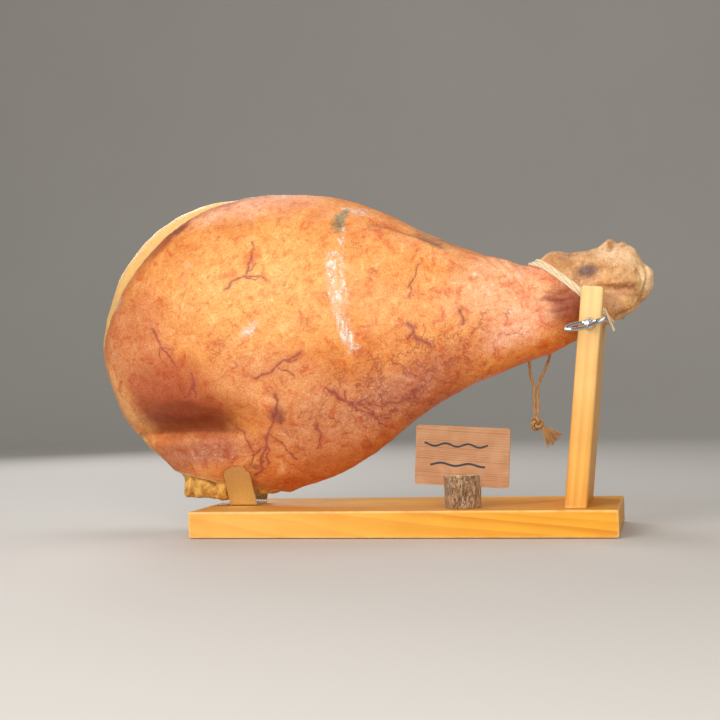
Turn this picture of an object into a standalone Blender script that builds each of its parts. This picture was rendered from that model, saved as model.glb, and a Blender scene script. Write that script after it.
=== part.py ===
"""A whole cured ham on its wooden ham stand, with its hanging twine and a small name board.

Metres, +Z up. The stand's board runs along X, the ham's skin side faces -Y, and the origin is
the centre of the board's underside.
"""
import math

import bmesh
import bpy
from mathutils import Matrix, Vector

GAP = 0.0003

# Stand: board
BOARD_LENGTH = 0.400
BOARD_DEPTH = 0.150
BOARD_THICKNESS = 0.025
BOARD_EDGE = 0.0018

# Stand: forked post
POST_THICKNESS = 0.020
POST_WIDTH = 0.115
POST_TOP = 0.2245
POST_FOOT_X = 0.161
POST_LEAN = math.radians(5.9)
POST_EDGE = 0.003
FORK_RADIUS = 0.0365
FORK_FLOOR = 0.1768
POST_SCREW_Y = 0.034
WOOD_SCREW_RADIUS = 0.0022
WOOD_SCREW_HEAD = 0.0043
WOOD_SCREW_LENGTH = 0.050
WOOD_SCREW_POINT = 0.004
WOOD_SCREW_SIDES = 12
HEAD_SUNK = 0.0008
PAST = 0.001

# Stand: wing screw in the post's front prong
WING_Z = 0.1903
WING_SHANK_RADIUS = 0.0038
WING_CLEARANCE = 0.0002
WING_TIP_Y = -0.0275
WING_HUB_RADIUS = 0.0060
WING_HUB_LENGTH = 0.0095
WING_WIRE_RADIUS = 0.0017
WING_TILT = math.radians(10.8)
WING_LOOPS = (
    # side, length, rise away from the post, twist about its own length
    (-1, 0.0245, math.radians(17.0), math.radians(27.0)),
    (1, 0.0225, math.radians(44.0), math.radians(14.0)),
)
WING_LOOP_HALF_WIDTH = 0.0056
WING_LOOP_POINTS = 20
WING_LOOP_ROOT = 1.25
WING_LOOP_TIP = 0.20
WING_HUB_TAPER = 0.72
WING_ROOT_SHARE = 0.55

# Stand: bent steel cradle
CRADLE_X = -0.1637
CRADLE_WIDTH = 0.0266
CRADLE_PLATE = 0.0020
CRADLE_FRONT_Y = -0.0130
CRADLE_BACK_Y = 0.0210
CRADLE_FLARE = math.radians(33.0)
CRADLE_ARM = 0.0430
CRADLE_BEND = 0.0030
CRADLE_TIP = 0.0080
CRADLE_TIP_ROUND = 0.93
CRADLE_BEND_STEPS = 4
CRADLE_ARM_STEPS = 7
CRADLE_ARM_SPACING = 1.6
CRADLE_SCREW_X = 0.0070
CRADLE_SCREW_LENGTH = 0.016

# Ham: stations from butt to hock, spaced like the cosine of equal angles.
# Columns: top z, bottom z, front y, back y.
HAM_LEFT = -0.3125
HAM_RIGHT = 0.235
HAM_STATIONS = (
    (0.1930, 0.1890, -0.0010, 0.0160),
    (0.2270, 0.1430, -0.0220, 0.0320),
    (0.2720, 0.0990, -0.0420, 0.0410),
    (0.3050, 0.0680, -0.0575, 0.0430),
    (0.3250, 0.0385, -0.0680, 0.0440),
    (0.3320, 0.0285, -0.0725, 0.0445),
    (0.3310, 0.0415, -0.0720, 0.0445),
    (0.3170, 0.0690, -0.0660, 0.0430),
    (0.2860, 0.1145, -0.0560, 0.0415),
    (0.2620, 0.1440, -0.0420, 0.0380),
    (0.2555, 0.1630, -0.0335, 0.0345),
    (0.2615, 0.1835, -0.0305, 0.0315),
    (0.2660, 0.1985, -0.0285, 0.0290),
    (0.2450, 0.2160, -0.0180, 0.0190),
    (0.2290, 0.2250, -0.0020, 0.0040),
)
HAM_APEX_TOP = 0.016
HAM_APEX_BOTTOM = 0.004
HAM_ROUND = 2.05
HAM_WEDGE = 1.38
HAM_FLAT_BACK = 2.7
HAM_WAIST_X = 0.1215
HAM_WAIST_REACH = (0.0130, 0.0070)
HAM_WAIST_DEPTH = 0.0080
HAM_EDGE_UNDER_BACK = 0.75
HAM_BODY_END = (-0.06, 0.10)
HAM_FIRST_RING = 0.012
HAM_LAST_RING = 0.985
HAM_CAP_BULGE = 0.0008
HAM_RINGS = 150
HAM_AROUND = 160
HAM_TRIANGLES = 4800

# Ham: fold across the skin above the cradle
FOLD_LEFT = -0.290
FOLD_RIGHT = -0.128
FOLD_FADE_LEFT = 0.035
FOLD_FADE_RIGHT = 0.055
FOLD_LOW_X = -0.224
FOLD_LOW_Z = 0.0925
FOLD_RISE = 1.35
FOLD_DEPTH = 0.0120
FOLD_HALF = 0.0140
FOLD_ROLL = 0.0065
FOLD_ROLL_DROP = 0.0290
FOLD_ROLL_HALF = 0.0150

# Ham: lumps on the hock: centre, radius, height
HOCK_LUMPS_START = 0.13
HOCK_LUMPS = (
    ((0.1965, -0.004, 0.270), 0.0070, 0.0085),
    ((0.1390, -0.004, 0.258), 0.0110, 0.0060),
    ((0.1560, -0.012, 0.262), 0.0140, 0.0030),
    ((0.2150, -0.014, 0.262), 0.0085, 0.0030),
    ((0.2310, -0.010, 0.238), 0.0080, 0.0030),
    ((0.2130, -0.026, 0.232), 0.0120, 0.0030),
    ((0.2060, -0.018, 0.203), 0.0100, 0.0025),
    ((0.2080, 0.026, 0.240), 0.0130, 0.0035),
)

# Ham: torn fat under the skin edge at the butt's lower corner
FLAP_CENTRE = (-0.2015, 0.0010, 0.0465)
FLAP_SIZE = (0.0520, 0.0500, 0.0350)
FLAP_PITCH = math.radians(6.0)
FLAP_SQUARENESS = 0.38
FLAP_LUMPS = ((0.00150, 150.0, 0.4), (0.00110, 260.0, 1.7))

# Twine round the shank
TWINE_RADIUS = 0.0015
WRAP_X = 0.1620
WRAP_REACH = 0.0370
WRAP_SPREAD = 0.0056
WRAP_LIFT = 0.0026
WRAP_POINTS = 46
WRAP_STRAND_START = math.radians(-62)
WRAP_STRAND_END = math.radians(140)
WRAP_STRAND_POINTS = 34
WRAP_END = ((0.1955, -0.0165, 0.1900), (0.1980, -0.0140, 0.1845))
HANG_POINTS = 26

# Hanging twine: routes of the two strands, the knot and its frayed end
HANG_ROUTES = (
    ((0.1330, 0.0330, 0.2420), (0.1290, 0.0385, 0.2250), (0.1235, 0.0400, 0.2000),
     (0.1165, 0.0390, 0.1720), (0.1140, 0.0375, 0.1560), (0.1155, 0.0365, 0.1440),
     (0.1178, 0.0360, 0.1340), (0.1180, 0.0360, 0.1200), (0.1181, 0.0360, 0.1070)),
    ((0.1400, 0.0340, 0.2375), (0.1390, 0.0390, 0.2200), (0.1370, 0.0400, 0.1950),
     (0.1340, 0.0390, 0.1660), (0.1285, 0.0375, 0.1500), (0.1238, 0.0365, 0.1400),
     (0.1217, 0.0360, 0.1330), (0.1215, 0.0360, 0.1200), (0.1214, 0.0360, 0.1070)),
)
KNOT_CENTRE = (0.1197, 0.0360, 0.0990)
KNOT_SIZE = (0.0130, 0.0100, 0.0150)
TASSEL_START = (0.1256, 0.0360, 0.0938)
TASSEL_END = (0.1392, 0.0360, 0.0795)
TASSEL_RADII = (0.0020, 0.0058)

# Name board on its log foot
STUMP_CENTRE = (0.0570, -0.0450)
STUMP_RADIUS = 0.0168
STUMP_TOP = 0.0556
STUMP_SIDES = 40
STUMP_WAVES = ((0.030, 3, 0.6), (0.022, 8, 0.0), (0.016, 13, 2.0))
SLOT_WIDTH = 0.0036
SLOT_FLOOR = 0.0436
PLAQUE_CENTRE_X = 0.0580
PLAQUE_CENTRE_Z = 0.0724
PLAQUE_SIZE = (0.0875, 0.0030, 0.0550)
PLAQUE_CORNER = 0.0025
PLAQUE_TILT = math.radians(3.4)

COLOURS = {
    "wood": ((0.80, 0.47, 0.17), 0.45, 0.0),
    "steel": ((0.62, 0.61, 0.58), 0.25, 1.0),
    "chrome": ((0.80, 0.80, 0.82), 0.12, 1.0),
    "ham": ((0.62, 0.27, 0.10), 0.50, 0.0),
    "twine": ((0.78, 0.66, 0.46), 0.85, 0.0),
    "bark": ((0.36, 0.24, 0.16), 0.90, 0.0),
    "card_wood": ((0.82, 0.56, 0.38), 0.60, 0.0),
}


# ---------------------------------------------------------------- helpers

def clear_scene():
    for old in list(bpy.data.objects):
        bpy.data.objects.remove(old, do_unlink=True)


def make_collection(name):
    group = bpy.data.collections.new(name)
    bpy.context.scene.collection.children.link(group)
    return group


def make_material(name):
    colour, roughness, metallic = COLOURS[name]
    material = bpy.data.materials.new(name)
    material.use_nodes = True
    shader = material.node_tree.nodes["Principled BSDF"]
    shader.inputs["Base Color"].default_value = (*colour, 1.0)
    shader.inputs["Roughness"].default_value = roughness
    shader.inputs["Metallic"].default_value = metallic
    return material


def link(obj, group):
    """Move an object into one collection only."""
    for old in list(obj.users_collection):
        old.objects.unlink(obj)
    group.objects.link(obj)
    return obj


def finish(obj, name, material, smooth_angle=None):
    obj.name = name
    obj.data.name = name
    obj.data.materials.clear()
    obj.data.materials.append(MATERIALS[material])
    if smooth_angle is not None:
        obj.data.shade_smooth()
        obj.data.set_sharp_from_angle(angle=smooth_angle)
    return link(obj, PARTS)


def apply_modifiers(obj):
    """Freeze an object's modifiers and transform into its mesh."""
    depsgraph = bpy.context.evaluated_depsgraph_get()
    mesh = bpy.data.meshes.new_from_object(obj.evaluated_get(depsgraph))
    mesh.transform(obj.matrix_world)
    obj.modifiers.clear()
    obj.data = mesh
    obj.matrix_world = Matrix.Identity(4)
    return obj


def box(size, centre, group):
    bpy.ops.mesh.primitive_cube_add(size=1.0, location=centre)
    obj = bpy.context.active_object
    obj.scale = size
    bpy.ops.object.transform_apply(location=False, rotation=False, scale=True)
    return link(obj, group)


def cylinder(radius, start, end, group, sides=32, end_radius=None):
    """A closed cylinder or cone from one point to another."""
    start, end = Vector(start), Vector(end)
    along = end - start
    bpy.ops.mesh.primitive_cone_add(
        vertices=sides, radius1=radius, depth=along.length, location=(start + end) / 2,
        radius2=radius if end_radius is None else end_radius)
    obj = bpy.context.active_object
    obj.rotation_mode = "QUATERNION"
    obj.rotation_quaternion = along.to_track_quat("Z", "Y")
    bpy.context.view_layer.update()
    return link(apply_modifiers(obj), group)


def bevel(obj, width, segments, only_along=None):
    """Round an object's edges, or only those along one axis."""
    modifier = obj.modifiers.new("Bevel", "BEVEL")
    modifier.width = width
    modifier.segments = segments
    modifier.limit_method = "ANGLE"
    if only_along is not None:
        modifier.limit_method = "WEIGHT"
        weights = obj.data.attributes.new("bevel_weight_edge", "FLOAT", "EDGE")
        for edge in obj.data.edges:
            a, b = (obj.data.vertices[i].co for i in edge.vertices)
            along = abs((b - a).normalized()[only_along]) > 0.99
            weights.data[edge.index].value = 1.0 if along else 0.0
    return modifier


def cut(obj, cutter, operation="DIFFERENCE"):
    cutter.hide_render = True
    cutter.display_type = "WIRE"
    modifier = obj.modifiers.new("Cut", "BOOLEAN")
    modifier.object = cutter
    modifier.operation = operation
    modifier.solver = "EXACT"
    return modifier


def smooth_curve(points, count, closed=False):
    """Evenly numbered points on a Catmull-Rom curve through the given ones."""
    points = [Vector(p) for p in points]
    spans = len(points) if closed else len(points) - 1
    result = []
    steps = count if closed else count - 1
    for i in range(count):
        t = i / steps * spans
        k = min(int(t), spans - 1)
        f = t - k
        if closed:
            a, b, c, d = (points[(k + j) % len(points)] for j in (-1, 0, 1, 2))
        else:
            b, c = points[k], points[k + 1]
            a = points[k - 1] if k > 0 else 2 * b - c
            d = points[k + 2] if k + 2 < len(points) else 2 * c - b
        result.append(0.5 * ((2 * b) + (c - a) * f + (2 * a - 5 * b + 4 * c - d) * f * f
                             + (3 * b - a - 3 * c + d) * f * f * f))
    return result


def tube(name, points, radius, material, closed=False):
    """A round cord along the given points, as a polyline curve with filled caps."""
    curve = bpy.data.curves.new(name, "CURVE")
    curve.dimensions = "3D"
    curve.bevel_depth = radius
    curve.bevel_resolution = 2
    curve.use_fill_caps = not closed
    spline = curve.splines.new("POLY")
    spline.points.add(len(points) - 1)
    spline.use_cyclic_u = closed
    for slot, point in zip(spline.points, points):
        slot.co = (*point, 1.0)
    obj = bpy.data.objects.new(name, curve)
    PARTS.objects.link(obj)
    curve.materials.append(MATERIALS[material])
    return obj


def curve_to_mesh(obj):
    """Swap a curve object for a mesh one with its caps welded on."""
    bpy.context.view_layer.update()
    depsgraph = bpy.context.evaluated_depsgraph_get()
    mesh = bpy.data.meshes.new_from_object(obj.evaluated_get(depsgraph))
    welded = bmesh.new()
    welded.from_mesh(mesh)
    bmesh.ops.remove_doubles(welded, verts=welded.verts, dist=1e-6)
    welded.to_mesh(mesh)
    welded.free()
    swapped = bpy.data.objects.new(obj.name + "_mesh", mesh)
    swapped.matrix_world = obj.matrix_world
    PARTS.objects.link(swapped)
    bpy.data.objects.remove(obj, do_unlink=True)
    return swapped


# ---------------------------------------------------------------- stand

def post_middle_x(z):
    """The post's centre line leans away from the ham."""
    return POST_FOOT_X + (z - BOARD_THICKNESS) * math.tan(POST_LEAN)


def build_board():
    board = box((BOARD_LENGTH, BOARD_DEPTH, BOARD_THICKNESS), (0, 0, BOARD_THICKNESS / 2), PARTS)
    bevel(board, BOARD_EDGE, 2)
    apply_modifiers(board)
    for side in (-1, 1):
        x, y = POST_FOOT_X, side * POST_SCREW_Y
        hole = cylinder(WOOD_SCREW_RADIUS + GAP, (x, y, -PAST), (x, y, BOARD_THICKNESS + PAST),
                        CUTTERS, sides=WOOD_SCREW_SIDES)
        sink_depth = WOOD_SCREW_HEAD - WOOD_SCREW_RADIUS + GAP
        sink = cylinder(WOOD_SCREW_HEAD + GAP, (x, y, -PAST), (x, y, HEAD_SUNK), CUTTERS,
                        sides=WOOD_SCREW_SIDES)
        cone = cylinder(WOOD_SCREW_HEAD + GAP, (x, y, HEAD_SUNK - 0.0001),
                        (x, y, HEAD_SUNK + sink_depth), CUTTERS, sides=WOOD_SCREW_SIDES,
                        end_radius=WOOD_SCREW_RADIUS + GAP)
        for cutter in (hole, sink, cone):
            cut(board, cutter)
        x, y = CRADLE_X + side * CRADLE_SCREW_X, (CRADLE_FRONT_Y + CRADLE_BACK_Y) / 2
        pilot = cylinder(WOOD_SCREW_RADIUS + GAP, (x, y, BOARD_THICKNESS - CRADLE_SCREW_LENGTH),
                         (x, y, BOARD_THICKNESS + PAST), CUTTERS, sides=WOOD_SCREW_SIDES)
        cut(board, pilot)
    apply_modifiers(board)
    finish(board, "base_board", "wood", math.radians(40))


def build_post():
    foot = BOARD_THICKNESS + GAP
    height = (POST_TOP - foot) / math.cos(POST_LEAN)
    extra = 0.010
    up = Vector((math.sin(POST_LEAN), 0, math.cos(POST_LEAN)))
    post = box((POST_THICKNESS, POST_WIDTH, height + extra),
               Vector((POST_FOOT_X, 0, foot)) + up * (height - extra) / 2, PARTS)
    bevel(post, POST_EDGE, 3)
    post.rotation_euler = (0, POST_LEAN, 0)
    bpy.context.view_layer.update()
    apply_modifiers(post)
    below = box((0.1, 0.2, 0.05), (POST_FOOT_X, 0, foot - 0.025), CUTTERS)
    cut(post, below)
    centre_z = FORK_FLOOR + FORK_RADIUS
    middle = post_middle_x(centre_z)
    reach = Vector((math.cos(POST_LEAN), 0, -math.sin(POST_LEAN))) * 0.05
    floor = Vector((middle, 0, centre_z))
    round_cut = cylinder(FORK_RADIUS, floor - reach, floor + reach, CUTTERS, sides=48)
    cut(post, round_cut)
    slot = box((0.1, 2 * FORK_RADIUS, 0.1), floor + up * 0.05, CUTTERS)
    slot.rotation_euler = (0, POST_LEAN, 0)
    cut(post, slot)
    x = post_middle_x(WING_Z)
    bore = cylinder(WING_SHANK_RADIUS + WING_CLEARANCE, (x, -0.08, WING_Z), (x, -0.02, WING_Z),
                    CUTTERS)
    cut(post, bore)
    for side in (-1, 1):
        y = side * POST_SCREW_Y
        tip = WOOD_SCREW_LENGTH + 2 * PAST
        pilot = cylinder(WOOD_SCREW_RADIUS + GAP, (POST_FOOT_X, y, 0), (POST_FOOT_X, y, tip),
                         CUTTERS, sides=WOOD_SCREW_SIDES)
        cut(post, pilot)
    bpy.context.view_layer.update()
    apply_modifiers(post)
    finish(post, "post", "wood", math.radians(40))


def build_wood_screw(name, x, y, head_z, direction, length):
    """A countersunk screw turned from a profile; direction is +1 up or -1 down from its head."""
    head_depth = WOOD_SCREW_HEAD - WOOD_SCREW_RADIUS
    profile = ((0, 0), (WOOD_SCREW_HEAD, 0), (WOOD_SCREW_RADIUS, head_depth),
               (WOOD_SCREW_RADIUS, length - WOOD_SCREW_POINT), (0, length))
    mesh = bpy.data.meshes.new(name)
    turned = bmesh.new()
    points = [turned.verts.new((r, 0, direction * h)) for r, h in profile]
    for a, b in zip(points, points[1:]):
        turned.edges.new((a, b))
    turned.to_mesh(mesh)
    turned.free()
    screw = bpy.data.objects.new(name, mesh)
    PARTS.objects.link(screw)
    turn = screw.modifiers.new("Turn", "SCREW")
    turn.steps = WOOD_SCREW_SIDES
    turn.render_steps = WOOD_SCREW_SIDES
    turn.use_merge_vertices = True
    turn.merge_threshold = 0.00001
    turn.use_normal_flip = direction < 0
    screw.location = (x, y, head_z)
    bpy.context.view_layer.update()
    apply_modifiers(screw)
    outward = bmesh.new()
    outward.from_mesh(screw.data)
    bmesh.ops.recalc_face_normals(outward, faces=outward.faces)
    outward.to_mesh(screw.data)
    outward.free()
    finish(screw, name, "steel", math.radians(30))


def build_wing_screw():
    x = post_middle_x(WING_Z)
    front = -POST_WIDTH / 2 - 0.0004
    shank = cylinder(WING_SHANK_RADIUS, (x, front - 0.004, WING_Z), (x, WING_TIP_Y, WING_Z), PARTS)
    hub = cylinder(WING_HUB_RADIUS, (x, front, WING_Z), (x, front - WING_HUB_LENGTH, WING_Z),
                   CUTTERS, end_radius=WING_HUB_RADIUS * WING_HUB_TAPER)
    cut(shank, hub, "UNION")
    root_y = front - WING_HUB_LENGTH * WING_ROOT_SHARE
    for side, length, rise, twist in WING_LOOPS:
        across = Vector((math.cos(WING_TILT), 0, math.sin(WING_TILT))) * side
        outward = Vector((0, -1, 0))
        axis = across * math.cos(rise) + outward * math.sin(rise)
        width = outward * math.cos(rise) - across * math.sin(rise)
        width = Matrix.Rotation(twist * side, 3, axis) @ width
        half = (length - WING_WIRE_RADIUS) / 2
        centre = Vector((x, root_y, WING_Z)) + axis * half
        points = []
        for i in range(WING_LOOP_POINTS):
            angle = 2 * math.pi * i / WING_LOOP_POINTS
            swell = WING_LOOP_ROOT - WING_LOOP_TIP * (1 - math.cos(angle))
            points.append(centre - axis * half * math.cos(angle)
                          + width * WING_LOOP_HALF_WIDTH * math.sin(angle) * swell)
        loop = tube("wing_loop", points, WING_WIRE_RADIUS, "chrome", closed=True)
        loop = curve_to_mesh(loop)
        link(loop, CUTTERS)
        cut(shank, loop, "UNION")
    bpy.context.view_layer.update()
    apply_modifiers(shank)
    finish(shank, "wing_screw", "chrome", math.radians(35))


def cradle_path():
    """Middle line of the bent strip in Y and Z, from the front tip to the back one."""
    half = CRADLE_PLATE / 2
    radius = CRADLE_BEND + half
    floor = BOARD_THICKNESS + GAP + half
    turn = math.pi / 2 - CRADLE_FLARE
    path = []
    for side, y in ((-1, CRADLE_FRONT_Y), (1, CRADLE_BACK_Y)):
        run = []
        corner = y - side * radius * math.tan(turn / 2)
        for i in range(CRADLE_BEND_STEPS + 1):
            angle = turn * i / CRADLE_BEND_STEPS
            run.append((corner + side * radius * math.sin(angle),
                        floor + radius * (1 - math.cos(angle))))
        foot_y, foot_z = run[-1]
        for i in range(1, CRADLE_ARM_STEPS + 1):
            share = 1 - (1 - i / CRADLE_ARM_STEPS) ** CRADLE_ARM_SPACING
            along = CRADLE_ARM * share
            run.append((foot_y + side * along * math.sin(CRADLE_FLARE),
                        foot_z + along * math.cos(CRADLE_FLARE)))
        path.append(run)
    return list(reversed(path[0])) + path[1]


def build_cradle():
    """One steel strip bent up at both ends, with rounded tips."""
    path = cradle_path()
    lengths = [0.0]
    for (y0, z0), (y1, z1) in zip(path, path[1:]):
        lengths.append(lengths[-1] + math.hypot(y1 - y0, z1 - z0))
    total = lengths[-1]
    half = CRADLE_WIDTH / 2
    grid = bmesh.new()
    rows = []
    for (y, z), run in zip(path, lengths):
        from_tip = min(run, total - run)
        narrow = max(0.0, 1 - from_tip / CRADLE_TIP)
        reach = half * math.sqrt(1 - narrow ** 2 * CRADLE_TIP_ROUND)
        rows.append([grid.verts.new((CRADLE_X + reach * (i / 3 - 1), y, z)) for i in range(7)])
    for low, high in zip(rows, rows[1:]):
        for i in range(6):
            grid.faces.new((low[i], low[i + 1], high[i + 1], high[i]))
    mesh = bpy.data.meshes.new("cradle")
    grid.to_mesh(mesh)
    grid.free()
    strip = bpy.data.objects.new("cradle", mesh)
    PARTS.objects.link(strip)
    shell = strip.modifiers.new("Plate", "SOLIDIFY")
    shell.thickness = CRADLE_PLATE
    shell.offset = 0.0
    shell.use_even_offset = True
    bpy.context.view_layer.update()
    apply_modifiers(strip)
    top = BOARD_THICKNESS + GAP + CRADLE_PLATE
    for side in (-1, 1):
        x, y = CRADLE_X + side * CRADLE_SCREW_X, (CRADLE_FRONT_Y + CRADLE_BACK_Y) / 2
        rim = WOOD_SCREW_HEAD + 5 * GAP
        hole = cylinder(rim, (x, y, top + 2 * GAP), (x, y, top + 2 * GAP - rim), CUTTERS,
                        sides=WOOD_SCREW_SIDES, end_radius=0.0)
        bore = cylinder(WOOD_SCREW_RADIUS + GAP, (x, y, top + PAST),
                        (x, y, top - CRADLE_PLATE - 2 * PAST), CUTTERS, sides=WOOD_SCREW_SIDES)
        cut(strip, hole)
        cut(strip, bore)
    bpy.context.view_layer.update()
    apply_modifiers(strip)
    finish(strip, "cradle", "steel", math.radians(30))


def build_screws():
    for number, side in enumerate((-1, 1), start=1):
        build_wood_screw(f"post_screw_{number}", POST_FOOT_X, side * POST_SCREW_Y, HEAD_SUNK, 1,
                         WOOD_SCREW_LENGTH)
        y = (CRADLE_FRONT_Y + CRADLE_BACK_Y) / 2
        build_wood_screw(f"cradle_screw_{number}", CRADLE_X + side * CRADLE_SCREW_X, y,
                         BOARD_THICKNESS + CRADLE_PLATE, -1, CRADLE_SCREW_LENGTH)


# ---------------------------------------------------------------- ham

def smoothstep(low, high, value):
    t = min(1.0, max(0.0, (value - low) / (high - low)))
    return t * t * (3 - 2 * t)


def ham_row(u):
    """The stations' columns at a place u from 0 at the butt to 1 at the hock."""
    last = len(HAM_STATIONS) - 1
    t = u * last
    k = min(int(t), last - 1)
    f = t - k
    row = []
    for column in range(4):
        b, c = HAM_STATIONS[k][column], HAM_STATIONS[k + 1][column]
        a = HAM_STATIONS[k - 1][column] if k > 0 else c
        d = HAM_STATIONS[k + 2][column] if k + 2 <= last else b
        row.append(0.5 * (2 * b + (c - a) * f + (2 * a - 5 * b + 4 * c - d) * f * f
                          + (3 * b - a - 3 * c + d) * f ** 3))
    return row


def ham_u(x):
    """The place along the ham, 0 to 1, of a distance x."""
    share = (x - HAM_LEFT) / (HAM_RIGHT - HAM_LEFT)
    return math.acos(1 - 2 * min(1.0, max(0.0, share))) / math.pi


def signed_power(value, power):
    return math.copysign(abs(value) ** power, value)


def fold_offset(x, z):
    """How far the skin sinks into the fold above the cradle, or swells in the roll under it."""
    window = smoothstep(FOLD_LEFT, FOLD_LEFT + FOLD_FADE_LEFT, x)
    window *= 1 - smoothstep(FOLD_RIGHT - FOLD_FADE_RIGHT, FOLD_RIGHT, x)
    crease = FOLD_LOW_Z + FOLD_RISE * (x - FOLD_LOW_X) ** 2
    sink = math.exp(-((z - crease) / FOLD_HALF) ** 2)
    swell = math.exp(-((z - crease + FOLD_ROLL_DROP) / FOLD_ROLL_HALF) ** 2)
    return window * (FOLD_ROLL * swell - FOLD_DEPTH * sink)


def ham_point(x, angle):
    """A point on the ham: angle 0 is its top edge, a quarter turn its skin side."""
    top, bottom, front, back = ham_row(ham_u(x))
    waist_reach = HAM_WAIST_REACH[0] if x < HAM_WAIST_X else HAM_WAIST_REACH[1]
    waist = math.exp(-((x - HAM_WAIST_X) / waist_reach) ** 2)
    top -= HAM_WAIST_DEPTH * waist
    middle, half = (top + bottom) / 2, (top - bottom) / 2
    up, out = math.cos(angle), math.sin(angle)
    body = 1 - smoothstep(*HAM_BODY_END, x)
    if out >= 0:
        power = HAM_ROUND
        if up < 0:
            power -= (HAM_ROUND - HAM_WEDGE) * body
    else:
        power = HAM_ROUND + (HAM_FLAT_BACK - HAM_ROUND) * body
        if up < 0:
            power -= HAM_EDGE_UNDER_BACK * body
    height = signed_power(up, 2 / power)
    apex = (HAM_APEX_TOP * (1 + height) + HAM_APEX_BOTTOM * (1 - height)) / 2 * body
    centre = (front + back) / 2 * (1 - body) + (HAM_APEX_TOP + HAM_APEX_BOTTOM) / 2 * body
    reach = centre - front if out >= 0 else back - centre
    drift = apex - (HAM_APEX_TOP + HAM_APEX_BOTTOM) / 2 * body
    y = centre + drift - reach * signed_power(out, 2 / power)
    z = middle + half * height
    if out > 0:
        offset = fold_offset(x, z) * min(1.0, out * 2.0)
        away = Vector((0, y - centre, z - middle))
        if away.length > 1e-6:
            away.normalize()
            y += away.y * offset
            z += away.z * offset
    return Vector((x, y, z))


def lump_offset(point):
    """Outward swelling of the hock's knobs and torn lips."""
    total = 0.0
    for centre, radius, height in HOCK_LUMPS:
        total += height * math.exp(-((point - Vector(centre)).length / radius) ** 2)
    return total


def ham_mesh():
    """A loft of closed rings from butt to hock, capped at both ends."""
    loft = bmesh.new()
    rings = []
    for i in range(HAM_RINGS):
        u = HAM_FIRST_RING + (HAM_LAST_RING - HAM_FIRST_RING) * i / (HAM_RINGS - 1)
        x = HAM_LEFT + (HAM_RIGHT - HAM_LEFT) * (1 - math.cos(math.pi * u)) / 2
        ring = []
        for j in range(HAM_AROUND):
            point = ham_point(x, 2 * math.pi * j / HAM_AROUND)
            ring.append(loft.verts.new(point))
        rings.append(ring)
    for low, high in zip(rings, rings[1:]):
        for j in range(HAM_AROUND):
            k = (j + 1) % HAM_AROUND
            loft.faces.new((low[j], low[k], high[k], high[j]))
    for ring, sign in ((rings[0], -1), (rings[-1], 1)):
        centre = sum((v.co for v in ring), Vector()) / HAM_AROUND
        tip = loft.verts.new(centre + Vector((HAM_CAP_BULGE * sign, 0, 0)))
        for j in range(HAM_AROUND):
            k = (j + 1) % HAM_AROUND
            loft.faces.new((ring[k], ring[j], tip) if sign < 0 else (ring[j], ring[k], tip))
    bmesh.ops.recalc_face_normals(loft, faces=loft.faces)
    loft.normal_update()
    shifts = [(v, v.normal * lump_offset(v.co)) for v in loft.verts
              if v.co.x > HOCK_LUMPS_START]
    for vert, shift in shifts:
        vert.co += shift
    mesh = bpy.data.meshes.new("ham")
    loft.to_mesh(mesh)
    loft.free()
    return mesh


def build_flap():
    """The block of torn fat that hangs under the skin's lower edge."""
    flap = box(FLAP_SIZE, (0, 0, 0), CUTTERS)
    soft = flap.modifiers.new("Soft", "SUBSURF")
    soft.levels = 4
    soft.render_levels = 4
    crease = flap.data.attributes.new("crease_edge", "FLOAT", "EDGE")
    for edge in flap.data.edges:
        crease.data[edge.index].value = FLAP_SQUARENESS
    flap.rotation_euler = (0, FLAP_PITCH, 0)
    flap.location = FLAP_CENTRE
    bpy.context.view_layer.update()
    apply_modifiers(flap)
    middle = Vector(FLAP_CENTRE)
    for vert in flap.data.vertices:
        away = (vert.co - middle).normalized()
        for height, rate, phase in FLAP_LUMPS:
            wave = math.sin(rate * vert.co.x + phase) * math.cos(rate * 0.8 * vert.co.z - phase)
            vert.co += away * height * wave
    return flap


def build_ham():
    ham = bpy.data.objects.new("ham", ham_mesh())
    PARTS.objects.link(ham)
    cut(ham, build_flap(), "UNION")
    bpy.context.view_layer.update()
    apply_modifiers(ham)
    thin = ham.modifiers.new("Thin", "DECIMATE")
    thin.use_collapse_triangulate = True
    triangles = sum(len(face.vertices) - 2 for face in ham.data.polygons)
    thin.ratio = HAM_TRIANGLES / triangles
    bpy.context.view_layer.update()
    apply_modifiers(ham)
    finish(ham, "ham", "ham", math.radians(180))


# ---------------------------------------------------------------- twine

def ham_normal(x, angle):
    step_x, step_a = 0.0015, 0.03
    along = ham_point(x + step_x, angle) - ham_point(x - step_x, angle)
    around = ham_point(x, angle + step_a) - ham_point(x, angle - step_a)
    normal = around.cross(along)
    point = ham_point(x, angle)
    _, _, front, back = ham_row(ham_u(x))
    centre = Vector((x, (front + back) / 2, (ham_point(x, 0).z + ham_point(x, math.pi).z) / 2))
    if normal.dot(point - centre) < 0:
        normal = -normal
    return normal.normalized()


def wrap_point(angle, shift):
    """A place on a strand that runs round the shank on the slant."""
    x = WRAP_X - WRAP_REACH * math.cos(angle) + shift
    return ham_point(x, angle) + ham_normal(x, angle) * WRAP_LIFT


def build_wraps():
    ring = [wrap_point(2 * math.pi * i / WRAP_POINTS, -WRAP_SPREAD / 2) for i in range(WRAP_POINTS)]
    tube("twine_wrap_1", ring, TWINE_RADIUS, "twine", closed=True)
    strand = []
    for i in range(WRAP_STRAND_POINTS):
        share = i / (WRAP_STRAND_POINTS - 1)
        angle = WRAP_STRAND_START + (WRAP_STRAND_END - WRAP_STRAND_START) * share
        strand.append(wrap_point(angle, WRAP_SPREAD / 2))
    strand += [Vector(p) for p in WRAP_END]
    tube("twine_wrap_2", strand, TWINE_RADIUS, "twine")


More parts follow.
